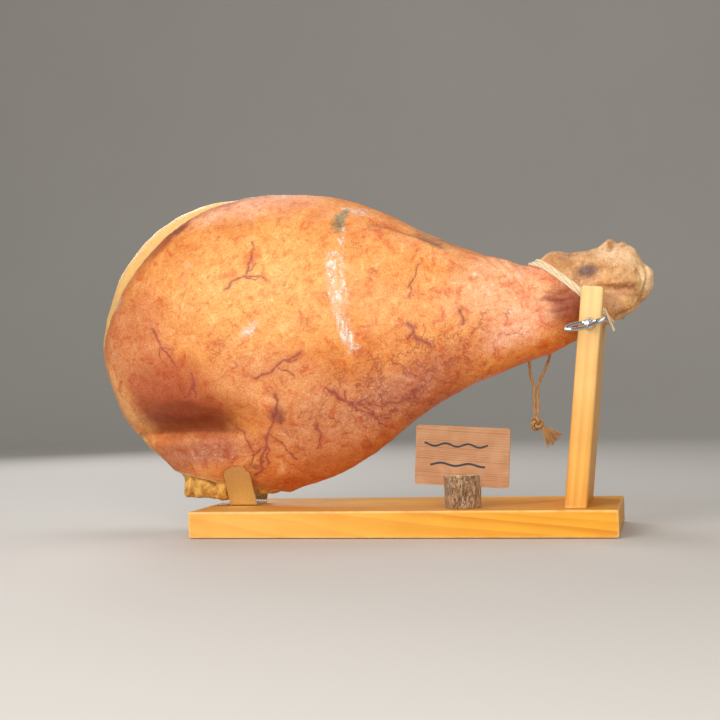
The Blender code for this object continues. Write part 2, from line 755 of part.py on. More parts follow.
def build_hanging_twine():
    for number, route in enumerate(HANG_ROUTES, start=1):
        tube(f"twine_hang_{number}", smooth_curve(route, HANG_POINTS), TWINE_RADIUS, "twine")
    bpy.ops.mesh.primitive_uv_sphere_add(segments=16, ring_count=10, radius=0.5,
                                         location=KNOT_CENTRE)
    knot = bpy.context.active_object
    knot.scale = KNOT_SIZE
    bpy.context.view_layer.update()
    apply_modifiers(knot)
    finish(knot, "twine_knot", "twine", math.radians(180))
    tassel = cylinder(TASSEL_RADII[0], TASSEL_START, TASSEL_END, PARTS, sides=14,
                      end_radius=TASSEL_RADII[1])
    finish(tassel, "twine_tassel", "twine", math.radians(50))


# ---------------------------------------------------------------- name board

def build_sign():
    x, y = STUMP_CENTRE
    foot = BOARD_THICKNESS + GAP
    stump = cylinder(STUMP_RADIUS, (x, y, foot), (x, y, STUMP_TOP), PARTS, sides=STUMP_SIDES)
    for vert in stump.data.vertices:
        angle = math.atan2(vert.co.y - y, vert.co.x - x)
        bark = 1 + sum(depth * math.sin(count * angle + phase)
                       for depth, count, phase in STUMP_WAVES)
        vert.co.x = x + (vert.co.x - x) * bark
        vert.co.y = y + (vert.co.y - y) * bark
    slot = box((0.06, SLOT_WIDTH, 0.03), (x, y, SLOT_FLOOR + 0.015), CUTTERS)
    cut(stump, slot)
    bpy.context.view_layer.update()
    apply_modifiers(stump)
    finish(stump, "sign_stump", "bark", math.radians(30))
    plaque = box(PLAQUE_SIZE, (0, 0, 0), PARTS)
    bevel(plaque, PLAQUE_CORNER, 4, only_along=1)
    plaque.rotation_euler = (0, PLAQUE_TILT, 0)
    plaque.location = (PLAQUE_CENTRE_X, y, PLAQUE_CENTRE_Z)
    bpy.context.view_layer.update()
    apply_modifiers(plaque)
    finish(plaque, "sign_plaque", "card_wood", math.radians(30))


clear_scene()
PARTS = make_collection("cured_ham_on_stand")
CUTTERS = make_collection("cutters")
MATERIALS = {name: make_material(name) for name in COLOURS}
build_board()
build_post()
build_screws()
build_wing_screw()
build_cradle()
build_ham()
build_wraps()
build_hanging_twine()
build_sign()
for cutter in CUTTERS.objects:
    cutter.hide_render = True
    cutter.display_type = "WIRE"
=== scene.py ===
"""Looks of the whole cured ham on its pine stand, with its twine and small name board.

Metres, +Z up. The skin side faces -Y, the butt is at -X and the hock at +X.
"""

import math
import random

import bmesh
import bpy
import numpy as np
from mathutils import Matrix, Vector, noise
from mathutils.bvhtree import BVHTree


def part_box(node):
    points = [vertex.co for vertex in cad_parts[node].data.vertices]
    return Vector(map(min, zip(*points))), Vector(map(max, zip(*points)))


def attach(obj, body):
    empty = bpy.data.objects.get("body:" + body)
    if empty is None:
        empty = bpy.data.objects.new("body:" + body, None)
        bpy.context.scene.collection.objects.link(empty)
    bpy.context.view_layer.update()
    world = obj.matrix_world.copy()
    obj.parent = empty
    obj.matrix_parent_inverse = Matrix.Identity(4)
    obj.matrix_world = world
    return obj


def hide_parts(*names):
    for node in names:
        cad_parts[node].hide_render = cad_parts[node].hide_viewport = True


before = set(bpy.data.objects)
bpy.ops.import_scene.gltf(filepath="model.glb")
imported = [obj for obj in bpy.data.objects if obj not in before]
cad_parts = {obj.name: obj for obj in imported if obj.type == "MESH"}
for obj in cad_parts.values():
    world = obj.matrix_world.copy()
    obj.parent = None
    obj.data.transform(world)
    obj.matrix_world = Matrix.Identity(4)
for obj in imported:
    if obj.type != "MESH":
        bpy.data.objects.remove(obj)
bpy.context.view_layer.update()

# Camera
CAMERA_PLACE = (0.2459, -1.3298, 0.1418)
CAMERA_YAW = math.radians(12.4)
CAMERA_PITCH = math.radians(-0.97)
CAMERA_ROLL = math.radians(-1.45)
CAMERA_LENS = 70.0
CAMERA_SENSOR = 36.0

# Stand
BOARD_TOP = 0.025
BOARD_SIZE = (0.400, 0.150, 0.025)
POST_FOOT = (0.161, 0.0, 0.025)
POST_SIZE = (0.020, 0.115, 0.200)
POST_LEAN = math.radians(5.9)
POST_TOP = 0.2245

# Name board and its log foot
STUMP_CENTRE = (0.0570, -0.0450)
STUMP_RADIUS = 0.0172
STUMP_TOP = 0.0556
SLOT_WIDTH = 0.0036
SLOT_FLOOR = 0.0436
PLAQUE_CENTRE = (0.0580, -0.0450, 0.0724)
PLAQUE_SIZE = (0.0875, 0.0030, 0.0550)
PLAQUE_TILT = math.radians(3.4)

# Plain marker strokes, long and gently waved: height, start, end, swing, pitch
MARKER_LINES = (
    (0.0100, -0.0360, 0.0240, 0.0014, 0.0210),
    (-0.0080, -0.0300, 0.0220, 0.0012, 0.0260),
)
MARKER_HALF_WIDTH = 0.0012

# Twine
TWINE_RADIUS = 0.0015
TWINE_TURNS = 26.0
WRAP_X = 0.1620
WRAP_REACH = 0.0370
WRAP_END = ((0.1955, -0.0175, 0.1915), (0.1980, -0.0150, 0.1850))
HANG_POINTS = 26
HANG_ROUTES = (
    ((0.1330, 0.0330, 0.2420), (0.1290, 0.0385, 0.2250), (0.1235, 0.0400, 0.2000),
     (0.1165, 0.0390, 0.1720), (0.1140, 0.0375, 0.1560), (0.1155, 0.0365, 0.1440),
     (0.1178, 0.0360, 0.1340), (0.1180, 0.0360, 0.1200), (0.1181, 0.0360, 0.1070)),
    ((0.1400, 0.0340, 0.2375), (0.1390, 0.0390, 0.2200), (0.1370, 0.0400, 0.1950),
     (0.1340, 0.0390, 0.1660), (0.1285, 0.0375, 0.1500), (0.1238, 0.0365, 0.1400),
     (0.1217, 0.0360, 0.1330), (0.1215, 0.0360, 0.1200), (0.1214, 0.0360, 0.1070)),
)
KNOT_CENTRE = (0.1197, 0.0360, 0.0990)
KNOT_SIZE = (0.0130, 0.0100, 0.0150)
TASSEL_START = (0.1240, 0.0360, 0.0960)
TASSEL_END = (0.1392, 0.0360, 0.0795)

# Ham surface
HAM_VOXEL = 0.0032
HAM_SMOOTHING = 20
HOCK_START = 0.118
SHANK_FINE = 0.078
FLAP_CORNER = (-0.172, 0.070)
FLAP_SLIT = ((-0.209, 0.054), (-0.190, 0.046), 0.001)
FLAP_CLEFT = ((-0.215, 0.059), (-0.214, 0.034), 0.001)
FLAP_LOBE = (-0.220, -0.022, 0.038)

# Where the skin ends round the butt: it lies well back, and comes forward round one side
BUTT_MIDDLE = (-0.150, 0.190)
SKIN_EDGE_BACK = 0.024
SKIN_EDGE_FORWARD = 0.060
SKIN_EDGE_ANGLE = 155.0
SKIN_EDGE_SPREAD = 70.0

# The skin's torn lower edge: a gentle slope that steepens past the butt's corner
TORN_EDGE_END = (-0.090, 0.030)
TORN_EDGE_SLOPE = 0.21
TORN_EDGE_CORNER = -0.235
TORN_EDGE_STEEP = 0.80
TORN_EDGE_LEFT = -0.275

# The fold over the cradle, with the painted shade of its hollow
FOLD_MIDDLE = (-0.200, 0.100)
FOLD_REACH = 0.065
FOLD_DROOP = 0.003
FOLD_SINK = 0.0062
FOLD_SWELL = 0.0032
FOLD_SHADE = 0.95
FOLD_SHADE_REACH = 0.018
FOLD_LEFT = (-0.282, -0.245)
FOLD_RIGHT = (-0.188, -0.138)

# Creases and ridges of the skin side: start and end (x, z), bow, depth (negative sinks), half width
SKIN_CREASES = (
    ((-0.030, 0.295), (0.045, 0.268), 0.003, -0.0026, 0.0028),
    ((-0.020, 0.289), (0.035, 0.268), 0.002, 0.0014, 0.0040),
    ((-0.095, 0.300), (-0.060, 0.302), -0.006, 0.0013, 0.0028),
    ((-0.058, 0.315), (-0.040, 0.175), 0.006, -0.0012, 0.0055),
    ((-0.240, 0.125), (-0.150, 0.106), 0.012, 0.0016, 0.0050),
)
HOCK_CREASES = (
    ((0.184, 0.228), (0.221, 0.224), -0.003, -0.0024, 0.0024),
    ((0.226, 0.247), (0.222, 0.212), 0.004, -0.0018, 0.0014),
    ((0.221, 0.241), (0.222, 0.220), 0.003, -0.0012, 0.0012),
    ((0.215, 0.207), (0.200, 0.198), 0.001, -0.0016, 0.0013),
    ((0.219, 0.205), (0.203, 0.194), 0.001, 0.0016, 0.0013),
    ((0.190, 0.257), (0.195, 0.269), -0.001, 0.0024, 0.0016),
    ((0.206, 0.267), (0.224, 0.252), 0.005, 0.0022, 0.0018),
    ((0.196, 0.259), (0.198, 0.266), 0.000, -0.0034, 0.0018),
)
HOCK_DENTS = (
    ((0.175, 0.240), -0.0004, 0.0120), ((0.148, 0.258), 0.0018, 0.0080),
    ((0.205, 0.240), 0.0020, 0.0090), ((0.190, 0.248), -0.0014, 0.0090),
    ((0.196, 0.273), 0.0036, 0.0040), ((0.220, 0.260), 0.0024, 0.0042),
    ((0.202, 0.267), -0.0022, 0.0036), ((0.213, 0.212), 0.0014, 0.0080),
    ((0.230, 0.236), 0.0022, 0.0070),
)
HOCK_FRAY = ((0.193, 0.191), (0.229, 0.220), -0.004)

# Arcs across the shank, one after another, and level creases beside the post
SHANK_ARCS = 3
SHANK_ARC_START, SHANK_ARC_END = (0.080, 0.260), (0.119, 0.205)
SHANK_ARC_STEP = (0.011, -0.002)
SHANK_ARC_BOW = 0.006
SHANK_ARC_DEPTH = -0.0013
POST_CREASES = 3
POST_CREASE_X = (0.136, 0.160)
POST_CREASE_Z = 0.223
POST_CREASE_STEP = -0.009
POST_CREASE_DEPTH = -0.0016
CREASE_HALF = 0.0016


# ---------------------------------------------------------------- meshes

def place(name, mesh, smooth=True):
    obj = bpy.data.objects.new(name, mesh)
    bpy.context.scene.collection.objects.link(obj)
    if smooth:
        mesh.shade_smooth()
    return obj


def baked(obj):
    """The object's evaluated mesh, with its modifiers worked in."""
    bpy.context.view_layer.update()
    depsgraph = bpy.context.evaluated_depsgraph_get()
    mesh = bpy.data.meshes.new_from_object(obj.evaluated_get(depsgraph))
    obj.modifiers.clear()
    obj.data = mesh
    return obj


def merged_copy(node, name):
    """A copy of a CAD node's mesh, with its loose triangles joined up."""
    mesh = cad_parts[node].data.copy()
    work = bmesh.new()
    work.from_mesh(mesh)
    bmesh.ops.remove_doubles(work, verts=work.verts, dist=1e-6)
    work.to_mesh(mesh)
    work.free()
    mesh.materials.clear()
    return place(name, mesh)


def points_of(mesh):
    flat = np.empty(len(mesh.vertices) * 3, dtype=np.float32)
    mesh.vertices.foreach_get("co", flat)
    return flat.reshape(-1, 3).astype(float)


def normals_of(mesh):
    flat = np.empty(len(mesh.vertices) * 3, dtype=np.float32)
    mesh.vertex_normals.foreach_get("vector", flat)
    return flat.reshape(-1, 3).astype(float)


def set_points(mesh, points):
    mesh.vertices.foreach_set("co", points.astype(np.float32).ravel())
    mesh.update()


def store(mesh, name, values):
    """Keep one number for each point, which materials read by this name."""
    attribute = mesh.attributes.new(name, "FLOAT", "POINT")
    attribute.data.foreach_set("value", np.asarray(values, dtype=np.float32))


def edge_ends(mesh):
    flat = np.empty(len(mesh.edges) * 2, dtype=np.int32)
    mesh.edges.foreach_get("vertices", flat)
    return flat.reshape(-1, 2)


def relax(mesh, points, rounds, weight):
    """Move each point towards the middle of its neighbours."""
    ends = edge_ends(mesh)
    count = len(points)
    valence = np.bincount(ends.ravel(), minlength=count).astype(float)
    for _ in range(rounds):
        total = np.empty_like(points)
        for axis in range(3):
            total[:, axis] = (np.bincount(ends[:, 0], points[ends[:, 1], axis], count)
                              + np.bincount(ends[:, 1], points[ends[:, 0], axis], count))
        points = points + (total / valence[:, None] - points) * weight[:, None]
    return points


def ease(low, high, value):
    t = np.clip((value - low) / (high - low), 0, 1)
    return t * t * (3 - 2 * t)


def waviness(points, size, octaves=2, shift=0.0):
    """Smooth three-dimensional noise, about -1 to 1, with lumps of the given size."""
    offset = Vector((shift, shift * 0.7, -shift))
    return np.array([noise.fractal(Vector(p) / size + offset, 0.9, 2.1, octaves) for p in points])


def route_distance(points, route):
    """Distance from each point to a run of straight pieces."""
    best = np.full(len(points), 1e9)
    for a, b in zip(route, route[1:]):
        a, b = np.array(a), np.array(b)
        along = np.clip(((points - a) @ (b - a)) / ((b - a) @ (b - a)), 0, 1)
        best = np.minimum(best, np.linalg.norm(points - a - along[:, None] * (b - a), axis=1))
    return best


def bowed(start, end, bow, count=9):
    """Places (x, z) from start to end that bulge to the left of the way by bow."""
    (x0, z0), (x1, z1) = start, end
    length = math.hypot(x1 - x0, z1 - z0)
    left = (-(z1 - z0) / length, (x1 - x0) / length)
    route = []
    for i in range(count):
        t = i / (count - 1)
        out = bow * 4 * t * (1 - t)
        route.append((x0 + (x1 - x0) * t + left[0] * out, z0 + (z1 - z0) * t + left[1] * out))
    return route


def side_distance(points, route):
    """Distance, seen from the side, from each point to a route of places (x, z)."""
    return route_distance(points * (1, 0, 1), [(x, 0, z) for x, z in route])


def route_taper(points, start, end):
    """1 along most of the way from start to end (x, z), easing to 0 at both."""
    way = np.subtract(end, start)
    share = ((points[:, [0, 2]] - start) @ way) / (way @ way)
    return ease(-0.10, 0.12, share) * (1 - ease(0.88, 1.10, share))


def smooth_curve(points, count, closed=False):
    """Evenly numbered points on a smooth curve through the given ones."""
    points = [Vector(p) for p in points]
    spans = len(points) if closed else len(points) - 1
    steps = count if closed else count - 1
    result = []
    for i in range(count):
        t = i / steps * spans
        k = min(int(t), spans - 1)
        f = t - k
        if closed:
            a, b, c, d = (points[(k + j) % len(points)] for j in (-1, 0, 1, 2))
        else:
            b, c = points[k], points[k + 1]
            a = points[k - 1] if k > 0 else 2 * b - c
            d = points[k + 2] if k + 2 < len(points) else 2 * c - b
        result.append(0.5 * ((2 * b) + (c - a) * f + (2 * a - 5 * b + 4 * c - d) * f * f
                             + (3 * b - a - 3 * c + d) * f * f * f))
    return result


def finish_piece(obj, body, slot_name, *nodes):
    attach(obj, body)
    if nodes:
        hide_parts(*nodes)
    return obj


# ---------------------------------------------------------------- node trees

class Tree:
    """Short ways to add and join the nodes of one tree."""

    def __init__(self, tree):
        self.tree = tree

    def add(self, kind, inputs=None, **settings):
        node = self.tree.nodes.new(kind)
        for name, value in settings.items():
            setattr(node, name, value)
        for key, value in (inputs or {}).items():
            self.feed(node.inputs[key], value)
        return node

    def feed(self, socket, value):
        if isinstance(value, bpy.types.NodeSocket):
            self.tree.links.new(value, socket)
        else:
            socket.default_value = value

    def math(self, operation, a, b=0.5, c=0.5, clamp=False):
        node = self.add("ShaderNodeMath", {0: a, 1: b, 2: c}, operation=operation)
        node.use_clamp = clamp
        return node.outputs[0]

    def vector(self, operation, a, b=(0, 0, 0), scale=1.0):
        node = self.add("ShaderNodeVectorMath", {0: a, 1: b, 3: scale}, operation=operation)
        single = operation in ("LENGTH", "DOT_PRODUCT", "DISTANCE")
        return node.outputs[1 if single else 0]

    def ease(self, value, low, high, start=0.0, end=1.0):
        """A soft step from start to end as value goes from low to high."""
        node = self.add("ShaderNodeMapRange", {0: value, 1: low, 2: high, 3: start, 4: end},
                        interpolation_type="SMOOTHSTEP")
        return node.outputs[0]

    def mix(self, factor, a, b, blend="MIX"):
        node = self.add("ShaderNodeMix", {0: factor, 6: a, 7: b}, data_type="RGBA")
        node.blend_type = blend
        return node.outputs[2]

    def noise(self, place, size, detail=3.0, rough=0.55, warp=0.0, colour=False):
        node = self.add("ShaderNodeTexNoise", {"Vector": place, "Scale": 1 / size,
                                               "Detail": detail, "Roughness": rough,
                                               "Distortion": warp})
        return node.outputs[1 if colour else 0]

    def cells(self, place, size, feature="DISTANCE_TO_EDGE", random=1.0, output=0):
        node = self.add("ShaderNodeTexVoronoi", {"Vector": place, "Scale": 1 / size,
                                                 "Randomness": random}, feature=feature)
        return node.outputs[output]

    def group(self, tree, output=0, **inputs):
        node = self.add("ShaderNodeGroup")
        node.node_tree = tree
        for name, value in inputs.items():
            self.feed(node.inputs[name.replace("_", " ")], value)
        return node.outputs[output]

    def attribute(self, name):
        return self.add("ShaderNodeAttribute", attribute_name=name).outputs["Fac"]

    def object_place(self):
        return self.add("ShaderNodeTexCoord").outputs["Object"]

    def warped(self, place, size, reach):
        """The place, pushed about by noise, so that edges come out uneven."""
        push = self.noise(place, size, 3.0, colour=True)
        push = self.vector("SUBTRACT", push, (0.5, 0.5, 0.5))
        return self.vector("ADD", place, self.vector("SCALE", push, scale=2 * reach))


SOCKETS = {"float": "NodeSocketFloat", "vector": "NodeSocketVector", "colour": "NodeSocketColor",
           "geometry": "NodeSocketGeometry", "material": "NodeSocketMaterial",
           "int": "NodeSocketInt"}


def node_group(name, kind, inputs, outputs):
    """An empty group with named sockets; returns its Tree, its input sockets and its output node."""
    tree = bpy.data.node_groups.new(name, kind)
    for label, form, *default in inputs:
        socket = tree.interface.new_socket(label, in_out="INPUT", socket_type=SOCKETS[form])
        if default:
            socket.default_value = default[0]
    for label, form in outputs:
        tree.interface.new_socket(label, in_out="OUTPUT", socket_type=SOCKETS[form])
    nodes = Tree(tree)
    entry = nodes.add("NodeGroupInput").outputs
    leave = nodes.add("NodeGroupOutput").inputs
    return nodes, entry, leave


def soft_patch_group():
    """1 inside an oval patch, easing to 0 at its rim."""
    nodes, entry, leave = node_group(
        "soft_patch", "ShaderNodeTree",
        (("Place", "vector"), ("Middle", "vector"), ("Reach", "vector", (1, 1, 1)),
         ("Slant", "float", 0.0)),
        (("Mask", "float"),))
    away = nodes.vector("SUBTRACT", entry["Place"], entry["Middle"])
    turned = nodes.add("ShaderNodeVectorRotate",
                       {"Vector": away, "Axis": (0, 1, 0), "Angle": entry["Slant"]})
    share = nodes.vector("LENGTH", nodes.vector("DIVIDE", turned.outputs[0], entry["Reach"]))
    nodes.feed(leave["Mask"], nodes.ease(share, 1.0, 0.25))
    return nodes.tree


def speckle_group():
    """Fine powdery grains in loose clusters, sparser as Cover falls."""
    nodes, entry, leave = node_group(
        "speckle", "ShaderNodeTree",
        (("Place", "vector"), ("Grain", "float", 0.001), ("Cover", "float", 0.5)),
        (("Mask", "float"),))
    rate = nodes.math("DIVIDE", 1.0, entry["Grain"])
    grain = nodes.add("ShaderNodeTexNoise", {"Vector": entry["Place"], "Scale": rate,
                                             "Detail": 2.0, "Roughness": 0.6}).outputs[0]
    cluster = nodes.add("ShaderNodeTexNoise", {"Vector": entry["Place"],
                                               "Scale": nodes.math("MULTIPLY", rate, 0.17),
                                               "Detail": 3.0, "Roughness": 0.65}).outputs[0]
    both = nodes.math("ADD", nodes.math("MULTIPLY", grain, 0.5),
                      nodes.math("MULTIPLY", cluster, 0.5))
    level = nodes.math("SUBTRACT", 0.735, nodes.math("MULTIPLY", entry["Cover"], 0.27))
    nodes.feed(leave["Mask"], nodes.ease(nodes.math("SUBTRACT", both, level), 0.0, 0.07))
    return nodes.tree


def wood_grain_group():
    """Growth rings round a log axis along Z, with fibres along it."""
    nodes, entry, leave = node_group(
        "wood_grain", "ShaderNodeTree",
        (("Place", "vector"), ("Ring", "float", 0.004), ("Wander", "float", 0.004),
         ("Pale", "colour", (0.9, 0.6, 0.3, 1)), ("Dark", "colour", (0.6, 0.3, 0.1, 1))),
        (("Colour", "colour"), ("Relief", "float"), ("Late", "float")))
    slow = nodes.vector("MULTIPLY", entry["Place"], (1.0, 1.0, 0.10))
    push = nodes.vector("SUBTRACT", nodes.noise(slow, 0.045, 2.0, colour=True), (0.5, 0.5, 0.5))
    bent = nodes.vector("ADD", nodes.vector("MULTIPLY", entry["Place"], (1, 1, 0)),
                        nodes.vector("SCALE", push, scale=entry["Wander"]))
    turn = nodes.math("DIVIDE", nodes.vector("LENGTH", bent), entry["Ring"])
    uneven = nodes.math("ADD", turn, nodes.math("MULTIPLY", nodes.noise(slow, 0.02), 0.5))
    share = nodes.math("FRACT", uneven)
    rise = nodes.ease(share, 0.15, 0.86)
    fall = nodes.ease(share, 1.0, 0.93)
    late = nodes.math("MULTIPLY", rise, fall)
    number = nodes.math("FLOOR", uneven)
    tone = nodes.add("ShaderNodeTexWhiteNoise", {"W": number}, noise_dimensions="1D").outputs[0]
    late = nodes.math("MULTIPLY", late, nodes.ease(tone, -0.3, 1.0))
    thin = nodes.vector("MULTIPLY", entry["Place"], (1.0, 1.0, 0.035))
    fibre = nodes.noise(thin, 0.0011, 3.0, 0.7)
    coarse = nodes.noise(thin, 0.006, 2.0, 0.6)
    late = nodes.math("MULTIPLY_ADD", nodes.math("SUBTRACT", fibre, 0.5), 0.45, late, clamp=True)
    late = nodes.math("MULTIPLY_ADD", nodes.math("SUBTRACT", coarse, 0.5), 0.5, late, clamp=True)
    nodes.feed(leave["Colour"], nodes.mix(late, entry["Pale"], entry["Dark"]))
    nodes.feed(leave["Relief"], nodes.math("MULTIPLY_ADD", fibre, 0.6, late))
    nodes.feed(leave["Late"], late)
    return nodes.tree


def capillary_group():
    """A network of fine wandering veins, broken up so that it shows in places."""
    nodes, entry, leave = node_group(
        "capillaries", "ShaderNodeTree",
        (("Place", "vector"), ("Spread", "float", 0.03), ("Width", "float", 0.04),
         ("Cover", "float", 0.5)),
        (("Mask", "float"),))
    push = nodes.vector("SUBTRACT", nodes.noise(entry["Place"], 0.010, 5.0, 0.65, colour=True),
                        (0.5, 0.5, 0.5))
    bent = nodes.vector("ADD", entry["Place"], nodes.vector("SCALE", push, scale=0.030))
    edge = nodes.add("ShaderNodeTexVoronoi",
                     {"Vector": bent, "Scale": nodes.math("DIVIDE", 1.0, entry["Spread"])},
                     feature="DISTANCE_TO_EDGE").outputs[0]
    line = nodes.ease(edge, entry["Width"], 0.0)
    shown = nodes.noise(entry["Place"], 0.021, 2.0, 0.6)
    level = nodes.math("SUBTRACT", 0.80, nodes.math("MULTIPLY", entry["Cover"], 0.5))
    keep = nodes.ease(nodes.math("SUBTRACT", shown, level), 0.0, 0.10)
    nodes.feed(leave["Mask"], nodes.math("MULTIPLY", line, keep))
    return nodes.tree


SOFT_PATCH = soft_patch_group()
SPECKLE = speckle_group()
WOOD_GRAIN = wood_grain_group()
CAPILLARIES = capillary_group()


def new_material(name):
    """A material with only its Principled shader; returns it with its Tree and the shader."""
    material = bpy.data.materials.new(name)
    material.use_nodes = True
    nodes = Tree(material.node_tree)
    return material, nodes, material.node_tree.nodes["Principled BSDF"]


def relief(nodes, shader, height, distance, strength=1.0):
    bump = nodes.add("ShaderNodeBump", {"Height": height, "Distance": distance,
                                        "Strength": strength})
    nodes.feed(shader.inputs["Normal"], bump.outputs[0])


def c(red, green, blue):
    return (red, green, blue, 1.0)


# ---------------------------------------------------------------- ham finish

# Veins of the skin side: start (x, z), heading and turn in degrees, length, half width
VEIN_SEED = 12
VEIN_STEP = 0.007
VEIN_WANDER = 16.0
TWIGS_PER_METRE = 34
TWIG_SHARE = 0.60
VEINS = (
    ((-0.115, 0.135), -100, -25, 0.090, 0.0014),
    ((-0.160, 0.105), -50, -20, 0.030, 0.0011),
    ((-0.135, 0.148), 20, 25, 0.055, 0.0010),
    ((-0.160, 0.235), 50, -90, 0.045, 0.0009),
    ((-0.140, 0.280), -60, -60, 0.032, 0.0008),
    ((-0.067, 0.138), -40, 80, 0.095, 0.0015),
    ((0.013, 0.195), -65, 40, 0.025, 0.0014),
    ((-0.050, 0.135), -80, 100, 0.050, 0.0010),
    ((-0.080, 0.104), -90, 0, 0.025, 0.0010),
    ((-0.020, 0.132), -85, -20, 0.016, 0.0009),
    ((-0.195, 0.156), -95, -70, 0.030, 0.0010),
    ((0.060, 0.208), -80, 0, 0.014, 0.0014),
    ((-0.235, 0.200), -60, 30, 0.045, 0.0010),
    ((0.020, 0.250), -110, 30, 0.030, 0.0008),
)

# Broad tones of the skin, among them painted shade and painted light: middle (x, z), reach (x, z),
# slant, colour, strength
SKIN_TONES = (
    ((-0.125, 0.238), (0.140, 0.085), 0.0, c(0.900, 0.475, 0.130), 0.78),
    ((0.010, 0.235), (0.110, 0.075), -0.5, c(0.880, 0.400, 0.115), 0.75),
    ((-0.262, 0.170), (0.075, 0.105), 0.2, c(0.660, 0.245, 0.095), 0.80),
    ((-0.225, 0.135), (0.085, 0.050), 0.1, c(0.480, 0.105, 0.036), 0.80),
    ((-0.112, 0.145), (0.090, 0.050), -0.3, c(0.790, 0.360, 0.150), 0.65),
    # Painted shade: the dark hollow under the bulge above the fold
    ((-0.205, 0.118), (0.085, 0.028), 0.0, c(0.300, 0.048, 0.004), 0.85),
    ((-0.196, 0.080), (0.080, 0.028), 0.1, c(0.450, 0.142, 0.070), 0.80),
    # The skin's dry pink top, made paler still by painted light from above
    ((-0.175, 0.322), (0.150, 0.030), 0.12, c(0.860, 0.450, 0.270), 0.70),
    ((-0.230, 0.290), (0.050, 0.012), 0.75, c(0.300, 0.060, 0.020), 0.85),
    ((-0.222, 0.296), (0.018, 0.008), 0.75, c(0.130, 0.030, 0.030), 0.85),
    ((0.015, 0.135), (0.095, 0.038), 0.60, c(0.520, 0.155, 0.070), 0.78),
    ((0.112, 0.190), (0.055, 0.026), 0.50, c(0.900, 0.460, 0.270), 0.85),
    ((-0.060, 0.105), (0.120, 0.050), 0.40, c(0.660, 0.290, 0.135), 0.75),
    # Painted shade along the underside, near the board
    ((-0.080, 0.060), (0.130, 0.024), 0.35, c(0.480, 0.120, 0.026), 0.70),
    ((0.100, 0.228), (0.075, 0.048), 0.0, c(0.920, 0.490, 0.255), 0.80),
    ((-0.285, 0.132), (0.024, 0.085), 0.50, c(0.820, 0.420, 0.130), 0.75),
    # Painted shade on the skin beside the twine and the post, then a painted dark crease line
    ((0.158, 0.206), (0.030, 0.036), 0.0, c(0.250, 0.046, 0.016), 0.90),
    ((0.140, 0.2160), (0.018, 0.0045), -0.15, c(0.250, 0.040, 0.020), 0.70),
    ((0.128, 0.246), (0.034, 0.016), -0.4, c(0.720, 0.260, 0.140), 0.65),
    ((-0.055, 0.300), (0.009, 0.020), 0.0, c(0.200, 0.220, 0.120), 0.85),
    ((0.030, 0.277), (0.040, 0.007), -0.42, c(0.300, 0.170, 0.090), 0.65),
    ((-0.115, 0.115), (0.011, 0.012), 0.0, c(0.170, 0.035, 0.030), 0.75),
    ((-0.145, 0.065), (0.010, 0.006), 0.0, c(0.160, 0.030, 0.030), 0.60),
)

# Tones of the hock, one of them painted shade: middle (x, z), reach (x, z), slant, colour, strength
HOCK_TONES = (
    ((0.150, 0.250), (0.026, 0.016), 0.2, c(0.480, 0.220, 0.070), 0.80),
    ((0.200, 0.256), (0.028, 0.014), 0.0, c(0.780, 0.510, 0.290), 0.80),
    ((0.217, 0.250), (0.014, 0.016), 0.0, c(0.880, 0.590, 0.310), 0.70),
    ((0.230, 0.234), (0.012, 0.022), 0.0, c(0.980, 0.700, 0.380), 0.90),
    ((0.186, 0.232), (0.024, 0.010), 0.15, c(0.740, 0.400, 0.160), 0.70),
    ((0.200, 0.213), (0.020, 0.014), 0.2, c(0.660, 0.350, 0.180), 0.75),
    ((0.215, 0.207), (0.018, 0.010), -0.7, c(0.860, 0.480, 0.190), 0.80),
    # Painted shadow in the fold across the hock
    ((0.205, 0.226), (0.022, 0.004), 0.05, c(0.360, 0.130, 0.040), 0.75),
    ((0.175, 0.240), (0.016, 0.012), 0.0, c(0.270, 0.125, 0.085), 0.75),
    ((0.155, 0.256), (0.009, 0.007), 0.0, c(0.300, 0.140, 0.080), 0.55),
    ((0.197, 0.266), (0.004, 0.006), 0.2, c(0.380, 0.170, 0.050), 0.70),
)

HOCK_BRUISE = ((0.176, 0.241), (0.013, 0.008), 0.2, c(0.110, 0.055, 0.055), 0.72)

# Patches where dried salt shows: middle (x, z), reach (x, z), slant, cover
SALT_PATCHES = (
    ((-0.136, 0.195), (0.022, 0.011), 0.5, 0.95),
    ((-0.283, 0.228), (0.010, 0.018), -0.4, 1.10),
    ((-0.265, 0.260), (0.008, 0.006), -0.6, 0.60),
    ((-0.200, 0.260), (0.009, 0.008), 0.3, 0.60),
    ((-0.195, 0.220), (0.010, 0.010), 0.0, 0.55),
    ((-0.185, 0.080), (0.080, 0.025), 0.0, 0.50),
    ((-0.010, 0.130), (0.130, 0.040), 0.55, 0.50),
    ((-0.165, 0.315), (0.080, 0.015), 0.3, 0.55),
    ((-0.090, 0.325), (0.080, 0.008), 0.0, 0.45),
    ((-0.040, 0.308), (0.026, 0.010), -0.2, 0.72),
    ((0.045, 0.255), (0.050, 0.013), -0.4, 0.45),
    ((-0.120, 0.065), (0.005, 0.012), 0.2, 0.90),
    ((0.075, 0.240), (0.005, 0.003), -0.3, 1.10),
    ((0.120, 0.220), (0.050, 0.035), 0.0, 0.30),
)

# Runs of salt down the skin: half width, cover, start and end (x, z), bow
SALT_RUNS = (
    (0.0120, 0.88, (-0.060, 0.262), (-0.040, 0.176), -0.003),
    (0.0060, 0.74, (-0.053, 0.290), (-0.044, 0.218), -0.001),
    (0.0040, 0.70, (-0.057, 0.312), (-0.033, 0.303), 0.001),
)
SALT_LINES = (1.0, 1.0, 0.10)
RIM_BLOOM = (150.0, 172.0, 205.0, 222.0)


